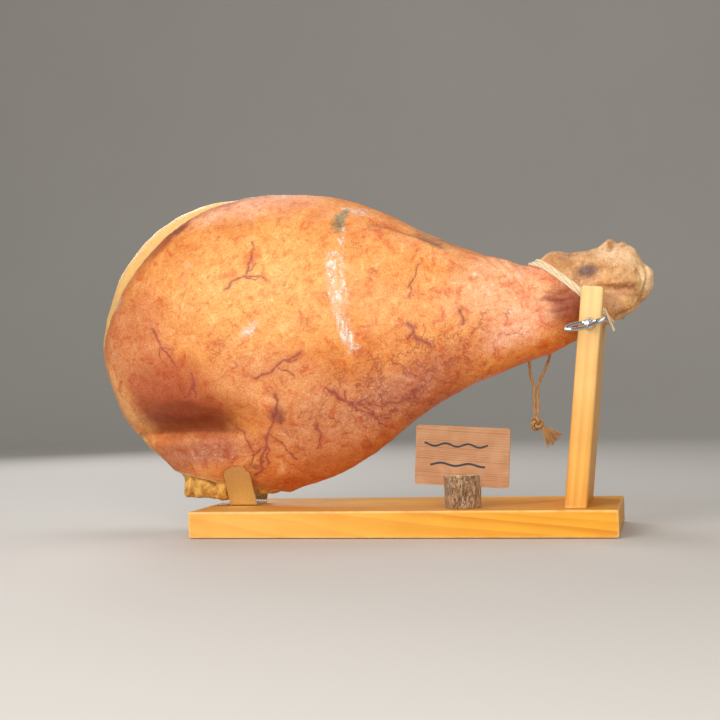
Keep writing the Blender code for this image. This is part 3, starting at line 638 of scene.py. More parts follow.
def skin_colour(nodes, place, broken):
    """The skin's tones, with painted shade and light among them, mottling, veins and salt; returns
    colour, salt mask and vein mask.
    """
    base = nodes.mix(nodes.ease(nodes.noise(place, 0.034, 3.0), 0.34, 0.68),
                     c(0.700, 0.235, 0.048), c(0.860, 0.365, 0.092))
    for (x, z), (reach_x, reach_z), slant, tone, strength in SKIN_TONES:
        mask = nodes.group(SOFT_PATCH, Place=broken, Middle=(x, 0, z), Slant=slant,
                           Reach=(reach_x, 9.0, reach_z))
        base = nodes.mix(nodes.math("MULTIPLY", mask, strength), base, tone)
    blotch = nodes.noise(place, 0.0135, 5.0, 0.66, warp=0.7)
    base = nodes.mix(nodes.ease(blotch, 0.49, 0.70), base, c(0.85, 0.50, 0.42), "MULTIPLY")
    base = nodes.mix(nodes.ease(blotch, 0.48, 0.28), base, c(1.09, 1.32, 1.80), "MULTIPLY")
    small_blotch = nodes.noise(nodes.vector("ADD", place, (0.7, 0.3, 0.5)), 0.0050, 4.0, 0.65,
                               warp=1.2)
    base = nodes.mix(nodes.ease(small_blotch, 0.55, 0.72), base, c(0.85, 0.60, 0.50), "MULTIPLY")
    base = nodes.mix(nodes.ease(small_blotch, 0.45, 0.28), base, c(1.05, 1.25, 1.70), "MULTIPLY")
    along = nodes.add("ShaderNodeVectorRotate", {"Vector": place, "Axis": (0, 1, 0),
                                                 "Angle": 0.42}).outputs[0]
    fibres = nodes.noise(nodes.vector("MULTIPLY", along, (0.36, 1.0, 1.0)), 0.0030, 4.0, 0.68,
                         warp=0.8)
    base = nodes.mix(nodes.ease(fibres, 0.52, 0.74), base, c(0.93, 0.76, 0.68), "MULTIPLY")
    base = nodes.mix(nodes.ease(fibres, 0.46, 0.28), base, c(1.04, 1.18, 1.55), "MULTIPLY")
    fine = nodes.noise(place, 0.0016, 4.0, 0.72)
    base = nodes.mix(nodes.ease(fine, 0.44, 0.60), base, c(0.86, 0.71, 0.60), "MULTIPLY")
    purple = nodes.group(SOFT_PATCH, Place=broken, Middle=(0.0, 0, 0.140), Slant=0.5,
                         Reach=(0.150, 9.0, 0.065))
    cover = nodes.math("MULTIPLY_ADD", purple, 0.55, 0.42)
    large = nodes.group(CAPILLARIES, Place=place, Spread=0.027, Width=0.050, Cover=cover)
    small = nodes.group(CAPILLARIES, Place=nodes.vector("ADD", place, (3.1, 1.7, 0.4)),
                        Spread=0.0125, Width=0.085, Cover=cover)
    vein_tone = nodes.mix(purple, c(0.50, 0.075, 0.035), c(0.33, 0.058, 0.048))
    base = nodes.mix(nodes.math("MULTIPLY", large, 0.58), base, vein_tone)
    base = nodes.mix(nodes.math("MULTIPLY", small, 0.40), base, vein_tone)
    ragged = nodes.math("MULTIPLY", nodes.math("SUBTRACT", nodes.noise(place, 0.0030, 3.0), 0.5),
                        2.0)
    drawn = nodes.math("ADD", nodes.attribute("vein"), ragged)
    halo = nodes.ease(drawn, 4.5, 0.3, 0.0, 0.42)
    veins = nodes.ease(drawn, 1.40, 0.0, 0.0, 0.72)
    base = nodes.mix(halo, base, c(0.50, 0.11, 0.045))
    base = nodes.mix(veins, base, c(0.255, 0.042, 0.034))
    salt = nodes.attribute("salt")
    lumpy = nodes.math("SUBTRACT", nodes.noise(place, 0.0042, 4.0, 0.7), 0.5)
    film = nodes.ease(nodes.math("MULTIPLY_ADD", lumpy, 2.0, salt), 0.35, 1.35, 0.0, 0.46)
    grains = nodes.group(SPECKLE, Place=place, Grain=0.0011, Cover=salt)
    thin_cover = nodes.ease(nodes.noise(place, 0.040, 2.0), 0.42, 0.66, 0.04, 0.34)
    stray = nodes.group(SPECKLE, Place=nodes.vector("ADD", place, (0.4, 0.2, 0.9)), Grain=0.0013,
                        Cover=thin_cover)
    base = nodes.mix(film, base, c(0.88, 0.70, 0.56))
    base = nodes.mix(nodes.math("MULTIPLY", grains, 0.74), base, c(0.96, 0.88, 0.78))
    base = nodes.mix(nodes.math("MULTIPLY", stray, 0.50), base, c(0.97, 0.78, 0.56))
    return base, nodes.math("MAXIMUM", grains, stray), nodes.math("MAXIMUM", large, veins)


def fat_colour(nodes, place):
    """Waxy cream fat, turning darker amber, with dark flecks, lower down towards the butt's lower
    corner.
    """
    upright = nodes.add("ShaderNodeSeparateXYZ", {0: place}).outputs[2]
    amber = nodes.ease(upright, 0.27, 0.07)
    high_tone = nodes.mix(nodes.noise(place, 0.012, 3.0), c(0.86, 0.46, 0.11), c(0.93, 0.58, 0.22))
    low_tone = nodes.mix(nodes.ease(nodes.noise(place, 0.008, 4.0, 0.65), 0.34, 0.62),
                     c(0.44, 0.18, 0.028), c(0.76, 0.42, 0.090))
    # Darker amber towards the bottom
    tone = nodes.mix(amber, high_tone, low_tone)
    dirt = nodes.ease(nodes.noise(place, 0.0045, 4.0, 0.7), 0.55, 0.74, 0.0, 0.55)
    return nodes.mix(nodes.math("MULTIPLY", dirt, amber), tone, c(0.20, 0.07, 0.02))


def lean_colour(nodes, place):
    """The cut face: dark dried muscle with threads of fat and a dull crust."""
    muscle = nodes.mix(nodes.noise(place, 0.016, 4.0, 0.6), c(0.120, 0.022, 0.014),
                       c(0.310, 0.065, 0.038))
    threads = nodes.group(CAPILLARIES, Place=place, Spread=0.019, Width=0.055, Cover=0.60)
    tone = nodes.mix(nodes.math("MULTIPLY", threads, 0.45), muscle, c(0.56, 0.27, 0.15))
    crust = nodes.group(SPECKLE, Place=place, Grain=0.004, Cover=0.40)
    return nodes.mix(nodes.math("MULTIPLY", crust, 0.32), tone, c(0.52, 0.33, 0.24))


def hock_colour(nodes, place, broken):
    """Tan and cream rind over the joint, with a bruise, pale bloom and painted shade in its fold."""
    tone = nodes.mix(nodes.ease(nodes.noise(place, 0.013, 4.0, 0.6), 0.36, 0.66),
                     c(0.500, 0.235, 0.080), c(0.740, 0.430, 0.185))
    for (x, z), (reach_x, reach_z), slant, patch, strength in HOCK_TONES:
        mask = nodes.group(SOFT_PATCH, Place=broken, Middle=(x, 0, z), Slant=slant,
                           Reach=(reach_x, 9.0, reach_z))
        tone = nodes.mix(nodes.math("MULTIPLY", mask, strength), tone, patch)
    blotch = nodes.noise(place, 0.0045, 5.0, 0.68, warp=0.8)
    tone = nodes.mix(nodes.ease(blotch, 0.50, 0.70), tone, c(0.74, 0.56, 0.44), "MULTIPLY")
    tone = nodes.mix(nodes.ease(blotch, 0.46, 0.28, 0.0, 0.45), tone, c(0.94, 0.76, 0.52))
    fine = nodes.noise(place, 0.0014, 4.0, 0.7)
    tone = nodes.mix(nodes.ease(fine, 0.46, 0.66), tone, c(0.90, 0.79, 0.68), "MULTIPLY")
    pale = nodes.group(SOFT_PATCH, Place=broken, Middle=(0.205, 0, 0.254), Slant=0.0,
                       Reach=(0.034, 9.0, 0.020))
    bloom = nodes.group(SPECKLE, Place=place, Grain=0.0013,
                        Cover=nodes.math("MULTIPLY_ADD", pale, 0.45, 0.30))
    tone = nodes.mix(nodes.math("MULTIPLY", bloom, 0.45), tone, c(0.95, 0.80, 0.60))
    (x, z), (reach_x, reach_z), slant, bruise, strength = HOCK_BRUISE
    mask = nodes.group(SOFT_PATCH, Place=broken, Middle=(x, 0, z), Slant=slant,
                       Reach=(reach_x, 9.0, reach_z))
    return nodes.mix(nodes.math("MULTIPLY", mask, strength), tone, bruise)


def ham_material():
    material, nodes, shader = new_material("ham_skin_and_fat")
    place = nodes.object_place()
    broken = nodes.warped(place, 0.022, 0.0090)
    skin, salt, veins = skin_colour(nodes, place, broken)
    fat = fat_colour(nodes, place)
    uneven = nodes.math("MULTIPLY", nodes.math("SUBTRACT", nodes.noise(place, 0.007, 3.0), 0.5),
                        0.0032)
    into_fat = nodes.math("ADD", nodes.attribute("fat_edge"), uneven)
    fat_mask = nodes.ease(into_fat, -0.0003, 0.0005)
    edge_band = nodes.math("MULTIPLY", nodes.ease(into_fat, -0.0120, -0.0004),
                           nodes.ease(into_fat, 0.0004, 0.0))
    tone = nodes.mix(nodes.math("MULTIPLY", edge_band, 0.55), skin, c(0.40, 0.11, 0.035))
    lip = nodes.math("MULTIPLY", nodes.ease(into_fat, -0.0016, -0.0006),
                     nodes.ease(into_fat, 0.0006, 0.0002))
    tone = nodes.mix(fat_mask, tone, fat)
    tone = nodes.mix(nodes.math("MULTIPLY", lip, 0.45), tone, c(0.92, 0.66, 0.36))
    lean_mask = nodes.ease(nodes.math("ADD", nodes.attribute("lean"),
                                      nodes.math("MULTIPLY", uneven, 2.2)), -0.0008, 0.0012)
    tone = nodes.mix(lean_mask, tone, lean_colour(nodes, place))
    hock_mask = nodes.ease(nodes.math("ADD", nodes.attribute("hock"), uneven), -0.0025, 0.0025)
    tone = nodes.mix(hock_mask, tone, hock_colour(nodes, place, nodes.warped(place, 0.008, 0.003)))
    # Painted shade: the fold's hollow, the deeper creases and the flap's slit and cleft are
    # darkened.
    hollow_shade = nodes.attribute("hollow_shade")
    tone = nodes.mix(nodes.math("MULTIPLY", hollow_shade, 0.80), tone, c(0.170, 0.026, 0.003))
    nodes.feed(shader.inputs["Base Color"], tone)
    rough = nodes.ease(nodes.noise(place, 0.018, 3.0), 0.3, 0.7, 0.36, 0.54)
    rough = nodes.math("MULTIPLY_ADD", salt, 0.3, rough)
    rough = nodes.math("MULTIPLY_ADD", hollow_shade, 0.4, rough, clamp=True)
    nodes.feed(shader.inputs["Roughness"], rough)
    shader.inputs["Specular IOR Level"].default_value = 0.34
    shader.inputs["Subsurface Weight"].default_value = 0.10
    shader.inputs["Subsurface Radius"].default_value = (1.0, 0.38, 0.16)
    shader.inputs["Subsurface Scale"].default_value = 0.006
    pores = nodes.noise(place, 0.0016, 3.0, 0.65)
    leathery = nodes.cells(nodes.warped(place, 0.005, 0.0012), 0.0034)
    wrinkles = nodes.noise(nodes.vector("MULTIPLY", place, (1.0, 1.0, 0.45)), 0.0070, 4.0, 0.6)
    height = nodes.math("MULTIPLY_ADD", pores, 0.20, nodes.math("MULTIPLY", leathery, 0.35))
    height = nodes.math("MULTIPLY_ADD", wrinkles, 0.9, height)
    height = nodes.math("MULTIPLY_ADD", salt, 0.35, height)
    height = nodes.math("MULTIPLY_ADD", veins, 0.30, height)
    relief(nodes, shader, height, 0.0011, 0.75)
    return material


# ---------------------------------------------------------------- ham shape

def refine(mesh, chosen):
    """Split the chosen faces in four, for finer relief there."""
    work = bmesh.new()
    work.from_mesh(mesh)
    work.verts.ensure_lookup_table()
    edges = [e for e in work.edges if chosen[e.verts[0].index] and chosen[e.verts[1].index]]
    bmesh.ops.subdivide_edges(work, edges=edges, cuts=1, use_grid_fill=True)
    bmesh.ops.triangulate(work, faces=[f for f in work.faces if len(f.verts) > 4])
    work.to_mesh(mesh)
    work.free()


def wander(start, heading, turn, length, chance):
    """Places (x, z) along a line that bends by turn in all and wavers a little on its way."""
    steps = max(3, round(length / VEIN_STEP))
    route = [start]
    for i in range(steps):
        aim = math.radians(heading + turn * i / steps + chance.uniform(-VEIN_WANDER, VEIN_WANDER))
        x, z = route[-1]
        route.append((x + math.cos(aim) * length / steps, z + math.sin(aim) * length / steps))
    return route


def vein_routes():
    """Every vein with the twigs that leave it, as half width and places (x, z)."""
    chance = random.Random(VEIN_SEED)
    routes = []
    for start, heading, turn, length, half in VEINS:
        trunk = wander(start, heading, turn, length, chance)
        routes.append((half, trunk))
        for _ in range(round(length * TWIGS_PER_METRE)):
            joint = chance.randrange(1, len(trunk) - 1)
            side = chance.choice((-1, 1))
            away = heading + turn * joint / len(trunk) + side * chance.uniform(30, 70)
            twig = wander(trunk[joint], away, -side * chance.uniform(10, 60),
                          length * chance.uniform(0.18, 0.40), chance)
            routes.append((half * TWIG_SHARE, twig))
    return routes


def vein_field(points):
    """Distance from the veins, counted in their own half widths."""
    bent = points.copy()
    bent[:, 0] += 0.0034 * waviness(points, 0.012, 2, 11.0)
    bent[:, 2] += 0.0034 * waviness(points, 0.012, 2, 13.0)
    nearest = np.full(len(points), 9.0)
    for half, route in vein_routes():
        nearest = np.minimum(nearest, side_distance(bent, route) / (half * 1.25))
    return np.where(points[:, 1] < 0.0, nearest, 9.0)


def oval_mask(points, middle, reach, slant):
    """1 inside an oval seen from the side, easing to 0 at its rim."""
    x, z = points[:, 0] - middle[0], points[:, 2] - middle[1]
    across = (x * math.cos(slant) + z * math.sin(slant)) / reach[0]
    up = (z * math.cos(slant) - x * math.sin(slant)) / reach[1]
    return ease(1.0, 0.25, np.hypot(across, up))


def run_distance(points, run):
    """Distance, seen from the side, from a run of salt, counted in half widths."""
    half, _, start, end, bow = run
    return side_distance(points, bowed(start, end, bow)) / half


def salt_cover(points, fat):
    """How thickly dried salt lies on the skin side."""
    bent = points.copy()
    bent[:, 0] += 0.0022 * waviness(points, 0.010, 3, 21.0)
    bent[:, 2] += 0.0022 * waviness(points, 0.010, 3, 23.0)
    salt = np.zeros(len(points))
    for middle, reach, slant, cover in SALT_PATCHES:
        salt = np.maximum(salt, cover * oval_mask(bent, middle, reach, slant))
    lines = 0.50 * waviness(points * SALT_LINES, 0.0022, 2, 31.0)
    for run in SALT_RUNS:
        core = ease(1.0, 0.25, run_distance(bent, run)) * run[1]
        salt = np.maximum(salt, core + lines * core)
    angle = butt_angle(points)
    start, full, fade, end = RIM_BLOOM
    window = ease(start, full, angle) * ease(end, fade, angle)
    bloom = np.exp(-((fat + 0.0130) / 0.0085) ** 2) * window
    salt = np.maximum(salt, (0.34 + 0.30 * waviness(points, 0.014, 2, 37.0)) * bloom)
    return np.where(points[:, 1] < 0.0, np.clip(salt, 0, 1.3), 0.0)


def butt_angle(points):
    """Degrees round the butt's middle, seen from the skin side."""
    angle = np.degrees(np.arctan2(points[:, 2] - BUTT_MIDDLE[1], points[:, 0] - BUTT_MIDDLE[0]))
    return angle % 360


def into_fat(points):
    """How far past the skin's edge each point is: above 0 is bare fat."""
    turned = (butt_angle(points) - SKIN_EDGE_ANGLE + 180) % 360 - 180
    edge_y = SKIN_EDGE_BACK - SKIN_EDGE_FORWARD * np.exp(-(turned / SKIN_EDGE_SPREAD) ** 2)
    rim = points[:, 1] - edge_y
    shank = ease(-0.060, 0.010, points[:, 0])
    rim = rim * (1 - shank) - 0.03 * shank
    end_x, end_z = TORN_EDGE_END
    edge_z = end_z + TORN_EDGE_SLOPE * (end_x - points[:, 0])
    edge_z += TORN_EDGE_STEEP * np.maximum(TORN_EDGE_CORNER - points[:, 0], 0)
    torn = np.where(points[:, 0] < TORN_EDGE_LEFT, -1.0, edge_z - points[:, 2])
    torn -= ease(-0.110, -0.060, points[:, 0]) * 0.05
    return np.maximum(rim, torn)


def into_lean(points):
    """Above 0 is the cut face on the back, inside its border of fat."""
    x = (points[:, 0] + 0.155) / np.where(points[:, 0] < -0.155, 0.118, 0.150)
    z = (points[:, 2] - 0.190) / (0.110 - 0.25 * (points[:, 0] + 0.155))
    oval = (1 - np.sqrt(x ** 2 + z ** 2)) * 0.10
    return np.where(points[:, 1] > 0.020, oval, -0.03)


def past_twine(points):
    """Above 0 is the hock, beyond the twine's slanting loop."""
    middle_z = 0.233
    slant = WRAP_X - WRAP_REACH * (points[:, 2] - middle_z) / 0.034
    return points[:, 0] - slant + 0.0025


def fold_relief(points, front):
    """The roll of skin above the cradle and the undercut over it, and the painted shade of its
    hollow and crease line.
    """
    x, z = points[:, 0], points[:, 2]
    above = z - FOLD_MIDDLE[1] + FOLD_DROOP * ((x - FOLD_MIDDLE[0]) / FOLD_REACH) ** 2
    window = ease(*FOLD_LEFT, x) * (1 - ease(*FOLD_RIGHT, x)) * front
    height = np.maximum(above, 0)
    over = 0.6 * np.exp(-height / 0.008) + 0.4 * np.exp(-height / 0.022)
    under = np.exp(-(above / 0.0052) ** 2)
    roll = np.exp(-((above + 0.0115) / 0.0085) ** 2)
    # line and shade are painted shade: a dark crease line, and the hollow darkest just above it
    line = np.exp(-((above + 0.0008) / 0.0021) ** 2)
    shift = window * (FOLD_SWELL * roll - FOLD_SINK * np.where(above > 0, over, under))
    shade = FOLD_SHADE * np.exp(-height / FOLD_SHADE_REACH) * ease(-0.0012, 0.0006, above)
    return shift, window * np.maximum(line, shade)


def crease_lines():
    """Every crease and ridge of the skin side: start, end, bow, depth, half width."""
    lines = list(SKIN_CREASES + HOCK_CREASES)
    for i in range(SHANK_ARCS):
        shift = np.multiply(SHANK_ARC_STEP, i)
        lines.append((tuple(SHANK_ARC_START + shift), tuple(SHANK_ARC_END + shift * (0.35, -1.0)),
                      SHANK_ARC_BOW, SHANK_ARC_DEPTH * (1 - 0.2 * i), CREASE_HALF))
    for i in range(POST_CREASES):
        z = POST_CREASE_Z + POST_CREASE_STEP * i
        lines.append(((POST_CREASE_X[0] - 0.005 * i, z), (POST_CREASE_X[1], z), -0.002,
                      POST_CREASE_DEPTH * (1 - 0.2 * i), CREASE_HALF))
    return lines


def flap_relief(points, fat):
    """Folded, torn fat under the skin at the butt's lower corner, and the painted shade of its slit
    and cleft.
    """
    x, y, z = points.T
    zone = (x < -0.120) * ease(0.0, 0.004, fat) * ease(0.075, 0.062, z) * ease(0.028, 0.010, y)
    upright = np.sin(x * 520 + 3.0 * np.sin(z * 90)) * 0.5 + 0.5
    folds = -0.0020 * np.abs(waviness(points * (1.0, 0.6, 0.45), 0.0095, 2, 5.0))
    folds += -0.0009 * upright ** 3
    slit = side_distance(points, bowed(*FLAP_SLIT))
    gap = np.exp(-(slit / 0.0016) ** 2)
    lump = np.exp(-(np.linalg.norm(points - FLAP_LOBE, axis=1) / 0.0075) ** 2)
    cleft = np.exp(-(side_distance(points, bowed(*FLAP_CLEFT)) / 0.0019) ** 2)
    shift = zone * (folds - 0.0050 * gap - 0.0034 * cleft) + 0.0030 * lump
    # The second value is painted shade for the slit and cleft.
    return shift, np.clip(zone * (gap + 0.55 * cleft), 0, 1)


def shape_ham():
    ham = merged_copy("ham", "cured_ham")
    remesh = ham.modifiers.new("Even", "REMESH")
    remesh.mode = "VOXEL"
    remesh.voxel_size = HAM_VOXEL
    baked(ham)
    mesh = ham.data
    points = points_of(mesh)
    gentle = 0.5 - 0.40 * ease(HOCK_START, HOCK_START + 0.03, points[:, 0])
    near_flap = ease(FLAP_CORNER[0] + 0.01, FLAP_CORNER[0], points[:, 0])
    near_flap *= ease(FLAP_CORNER[1] + 0.01, FLAP_CORNER[1], points[:, 2])
    gentle *= 1 - 0.6 * near_flap
    points = relax(mesh, points, HAM_SMOOTHING, gentle)
    set_points(mesh, points)
    chosen = (points[:, 0] > SHANK_FINE) | ((points[:, 0] < -0.135) & (points[:, 2] < 0.112)
                                            & (points[:, 1] < 0.012))
    refine(mesh, chosen)
    for reach in (5.0, 3.0):
        points = points_of(mesh)
        salted = np.minimum(run_distance(points, SALT_RUNS[0]), run_distance(points, SALT_RUNS[1]))
        refine(mesh, (vein_field(points) < reach) | ((salted < 1.2) & (points[:, 1] < 0)))
    points = relax(mesh, points_of(mesh), 3, np.full(len(mesh.vertices), 0.35))
    set_points(mesh, points)
    normals = normals_of(mesh)
    front = ease(0.25, -0.05, normals[:, 1])
    fat = into_fat(points)
    hock = past_twine(points)
    hock_side = ease(-0.002, 0.004, hock)
    shift = 0.0013 * waviness(points, 0.055, 2, 2.0) + 0.00065 * waviness(points, 0.016, 3, 7.0)
    shift *= 1 - hock_side
    shift += hock_side * (0.0010 * waviness(points, 0.0095, 2, 4.0)
                          + 0.00045 * waviness(points, 0.0040, 2, 6.0))
    skin_side = ease(0.006, -0.004, points[:, 1])
    fray = np.exp(-(side_distance(points, bowed(*HOCK_FRAY)) / 0.0055) ** 2) * skin_side
    shift += fray * 0.0020 * waviness(points, 0.0030, 2, 17.0)
    # Painted shade for the fold's hollow, the deeper creases and the flap's slit and cleft
    hollow_shade = np.zeros(len(points))
    fold, fold_shade = fold_relief(points, front)
    shift += fold
    hollow_shade = np.maximum(hollow_shade, fold_shade)
    for start, end, bow, depth, half in crease_lines():
        near = np.exp(-(side_distance(points, bowed(start, end, bow)) / half) ** 2)
        near *= route_taper(points, start, end) * skin_side
        shift += depth * near
        # The deeper creases also get painted shade.
        if depth < -0.0014:
            hollow_shade = np.maximum(hollow_shade, 0.5 * near ** 1.5)
    for (x, z), height, reach in HOCK_DENTS:
        away = np.hypot(points[:, 0] - x, points[:, 2] - z)
        shift += height * np.exp(-(away / reach) ** 2) * skin_side
    step_in = ease(-0.0004, 0.0018, fat) * (1 - hock_side)
    lip = np.exp(-((fat + 0.0016) / 0.0016) ** 2) * (1 - hock_side)
    shift += 0.0004 * lip - 0.0016 * step_in
    torn, gap_shade = flap_relief(points, fat)
    shift += torn
    hollow_shade = np.maximum(hollow_shade, gap_shade)
    loop = np.exp(-((hock + 0.002) / 0.0040) ** 2)
    shift -= 0.0010 * loop
    points = points + normals * shift[:, None]
    points[:, 2] = np.maximum(points[:, 2], BOARD_TOP + 0.0006)
    low, high = (np.array(corner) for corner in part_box("ham"))
    points = np.clip(points, low, high)
    set_points(mesh, points)
    for name, values in (("fat_edge", fat), ("lean", into_lean(points)), ("hock", hock),
                         ("hollow_shade", hollow_shade), ("vein", vein_field(points)),
                         ("salt", salt_cover(points, fat))):
        store(mesh, name, values)
    mesh.materials.append(ham_material())
    mesh.shade_smooth()
    return finish_piece(ham, "stand", "ham", "ham")


# ---------------------------------------------------------------- wood finishes

def plank_material(name, grain_turn, log_middle, ring, wander, pale, dark, edge_middle, edge_half,
                   pale_to_deep_axis, pale_to_deep_ends, pale_end, deep):
    """Oiled pine: grain_turn lays the log's axis along the plank, and the tone deepens along
    pale_to_deep_axis, from the pale end to the deep one; on the post the paler top is painted light."""
    material, nodes, shader = new_material(name)
    place = nodes.object_place()
    laid = nodes.add("ShaderNodeMapping", {"Vector": place, "Location": log_middle,
                                           "Rotation": grain_turn}, vector_type="TEXTURE")
    grain = nodes.add("ShaderNodeGroup")
    grain.node_tree = WOOD_GRAIN
    for key, value in (("Place", laid.outputs[0]), ("Ring", ring), ("Wander", wander),
                       ("Pale", pale), ("Dark", dark)):
        nodes.feed(grain.inputs[key], value)
    tone = grain.outputs["Colour"]
    # Paler at one end and deeper at the other; on the post this is painted light on its top
    along = nodes.ease(nodes.add("ShaderNodeSeparateXYZ", {0: place}).outputs[pale_to_deep_axis],
                       *pale_to_deep_ends)
    tone = nodes.mix(nodes.math("MULTIPLY_ADD", along, -0.45, 0.45), tone, pale_end)
    tone = nodes.mix(along, tone, deep, "MULTIPLY")
    smudge = nodes.ease(nodes.noise(place, 0.05, 3.0), 0.35, 0.75, 0.0, 0.30)
    tone = nodes.mix(smudge, tone, c(dark[0] * 0.92, dark[1] * 0.85, dark[2] * 0.75))
    dirt = nodes.ease(nodes.noise(place, 0.0035, 4.0, 0.7), 0.66, 0.80, 0.0, 0.35)
    tone = nodes.mix(dirt, tone, c(0.30, 0.15, 0.05))
    away = nodes.vector("ABSOLUTE", nodes.vector("SUBTRACT", place, edge_middle))
    out = nodes.add("ShaderNodeSeparateXYZ", {0: nodes.vector("SUBTRACT", away, edge_half)})
    near = [nodes.ease(out.outputs[axis], -0.0030, 0.0) for axis in range(3)]
    both = nodes.math("MAXIMUM", nodes.math("MULTIPLY", near[0], near[1]),
                      nodes.math("MULTIPLY", nodes.math("MAXIMUM", near[0], near[1]), near[2]))
    worn = nodes.math("MULTIPLY", both, nodes.ease(nodes.noise(place, 0.012), 0.30, 0.60, 0.2, 0.6))
    tone = nodes.mix(worn, tone, c(0.95, 0.70, 0.36))
    nodes.feed(shader.inputs["Base Color"], tone)
    rough = nodes.ease(nodes.noise(place, 0.02), 0.3, 0.7, 0.42, 0.54)
    nodes.feed(shader.inputs["Roughness"], nodes.math("MULTIPLY_ADD", grain.outputs["Late"], -0.05,
                                                      rough))
    shader.inputs["Specular IOR Level"].default_value = 0.28
    relief(nodes, shader, grain.outputs["Relief"], 0.00022, 0.8)
    return material


def board_material():
    return plank_material("board_pine", (0.0, math.radians(90 + 3.4), math.radians(1.2)),
                          (0.30, 0.014, -0.034), 0.0036, 0.016,
                          c(0.890, 0.420, 0.045), c(0.720, 0.270, 0.012),
                          (0, 0, BOARD_SIZE[2] / 2), tuple(s / 2 for s in BOARD_SIZE),
                          0, (-0.20, 0.20), c(0.860, 0.490, 0.150), c(0.95, 0.93, 0.50))


def post_material():
    middle = (POST_FOOT[0] + math.tan(POST_LEAN) * 0.1, 0, (POST_TOP + BOARD_TOP) / 2)
    # The post's paler, creamier top is painted light from above
    return plank_material("post_pine", (0.0, POST_LEAN, 0.0), (0.215, 0.018, 0.0), 0.0042, 0.006,
                          c(0.900, 0.500, 0.115), c(0.660, 0.280, 0.045),
                          middle, (0.0205, POST_SIZE[1] / 2, (POST_TOP - BOARD_TOP) / 2),
                          2, (POST_TOP, BOARD_TOP), c(1.000, 0.770, 0.430), c(0.96, 0.84, 0.62))


def plaque_material():
    material, nodes, shader = new_material("plaque_veneer")
    place = nodes.object_place()
    laid = nodes.add("ShaderNodeMapping", {"Vector": place, "Location": PLAQUE_CENTRE,
                                           "Rotation": (0, PLAQUE_TILT, 0)}, vector_type="TEXTURE")
    flat = laid.outputs[0]
    grain = nodes.add("ShaderNodeGroup")
    grain.node_tree = WOOD_GRAIN
    turned = nodes.add("ShaderNodeMapping", {"Vector": flat, "Location": (0.2, 0.03, 0.055),
                                             "Rotation": (0, math.radians(91.5), 0)},
                       vector_type="TEXTURE")
    for key, value in (("Place", turned.outputs[0]), ("Ring", 0.0019), ("Wander", 0.0035),
                       ("Pale", c(0.500, 0.232, 0.100)), ("Dark", c(0.370, 0.148, 0.056))):
        nodes.feed(grain.inputs[key], value)
    tone = grain.outputs["Colour"]
    parts = nodes.add("ShaderNodeSeparateXYZ", {0: flat})
    across, depth, up = parts.outputs
    lines = nodes.math("SINE", nodes.math("MULTIPLY", up, 2 * math.pi / 0.00125))
    lines = nodes.math("MULTIPLY", nodes.ease(lines, -0.2, 1.0), 0.30)
    tone = nodes.mix(lines, tone, c(0.33, 0.140, 0.058))
    worn = nodes.ease(nodes.noise(flat, 0.020, 3.0), 0.42, 0.70, 0.0, 0.35)
    tone = nodes.mix(worn, tone, c(0.64, 0.37, 0.20))
    ink = marker_strokes(nodes, across, depth, up)
    tone = nodes.mix(ink, tone, c(0.022, 0.020, 0.024))
    rim = nodes.math("MAXIMUM",
                     nodes.ease(nodes.math("ABSOLUTE", across), PLAQUE_SIZE[0] / 2 - 0.0012,
                                PLAQUE_SIZE[0] / 2 - 0.0002),
                     nodes.ease(nodes.math("ABSOLUTE", up), PLAQUE_SIZE[2] / 2 - 0.0012,
                                PLAQUE_SIZE[2] / 2 - 0.0002))
    tone = nodes.mix(nodes.math("MULTIPLY", rim, 0.45), tone, c(0.48, 0.24, 0.11))
    nodes.feed(shader.inputs["Base Color"], tone)
    nodes.feed(shader.inputs["Roughness"], nodes.math("MULTIPLY_ADD", ink, -0.25, 0.62))
    relief(nodes, shader, nodes.math("MULTIPLY_ADD", lines, 1.5, grain.outputs["Relief"]), 0.00012)
    return material


def marker_strokes(nodes, across, depth, up):
    """Two long, gently waved strokes in black marker on the front face."""
    masks = []
    for height, start, end, swing, pitch in MARKER_LINES:
        wave = nodes.math("SINE", nodes.math("MULTIPLY", across, 2 * math.pi / pitch))
        line = nodes.math("MULTIPLY_ADD", wave, swing, height)
        gap = nodes.math("ABSOLUTE", nodes.math("SUBTRACT", up, line))
        mask = nodes.ease(gap, MARKER_HALF_WIDTH, MARKER_HALF_WIDTH * 0.7)
        mask = nodes.math("MULTIPLY", mask, nodes.ease(across, start, start + 0.0008))
        masks.append(nodes.math("MULTIPLY", mask, nodes.ease(across, end, end - 0.0008)))
    both = nodes.math("MAXIMUM", *masks)
    return nodes.math("MULTIPLY", both, nodes.ease(depth, -0.0010, -0.0014))


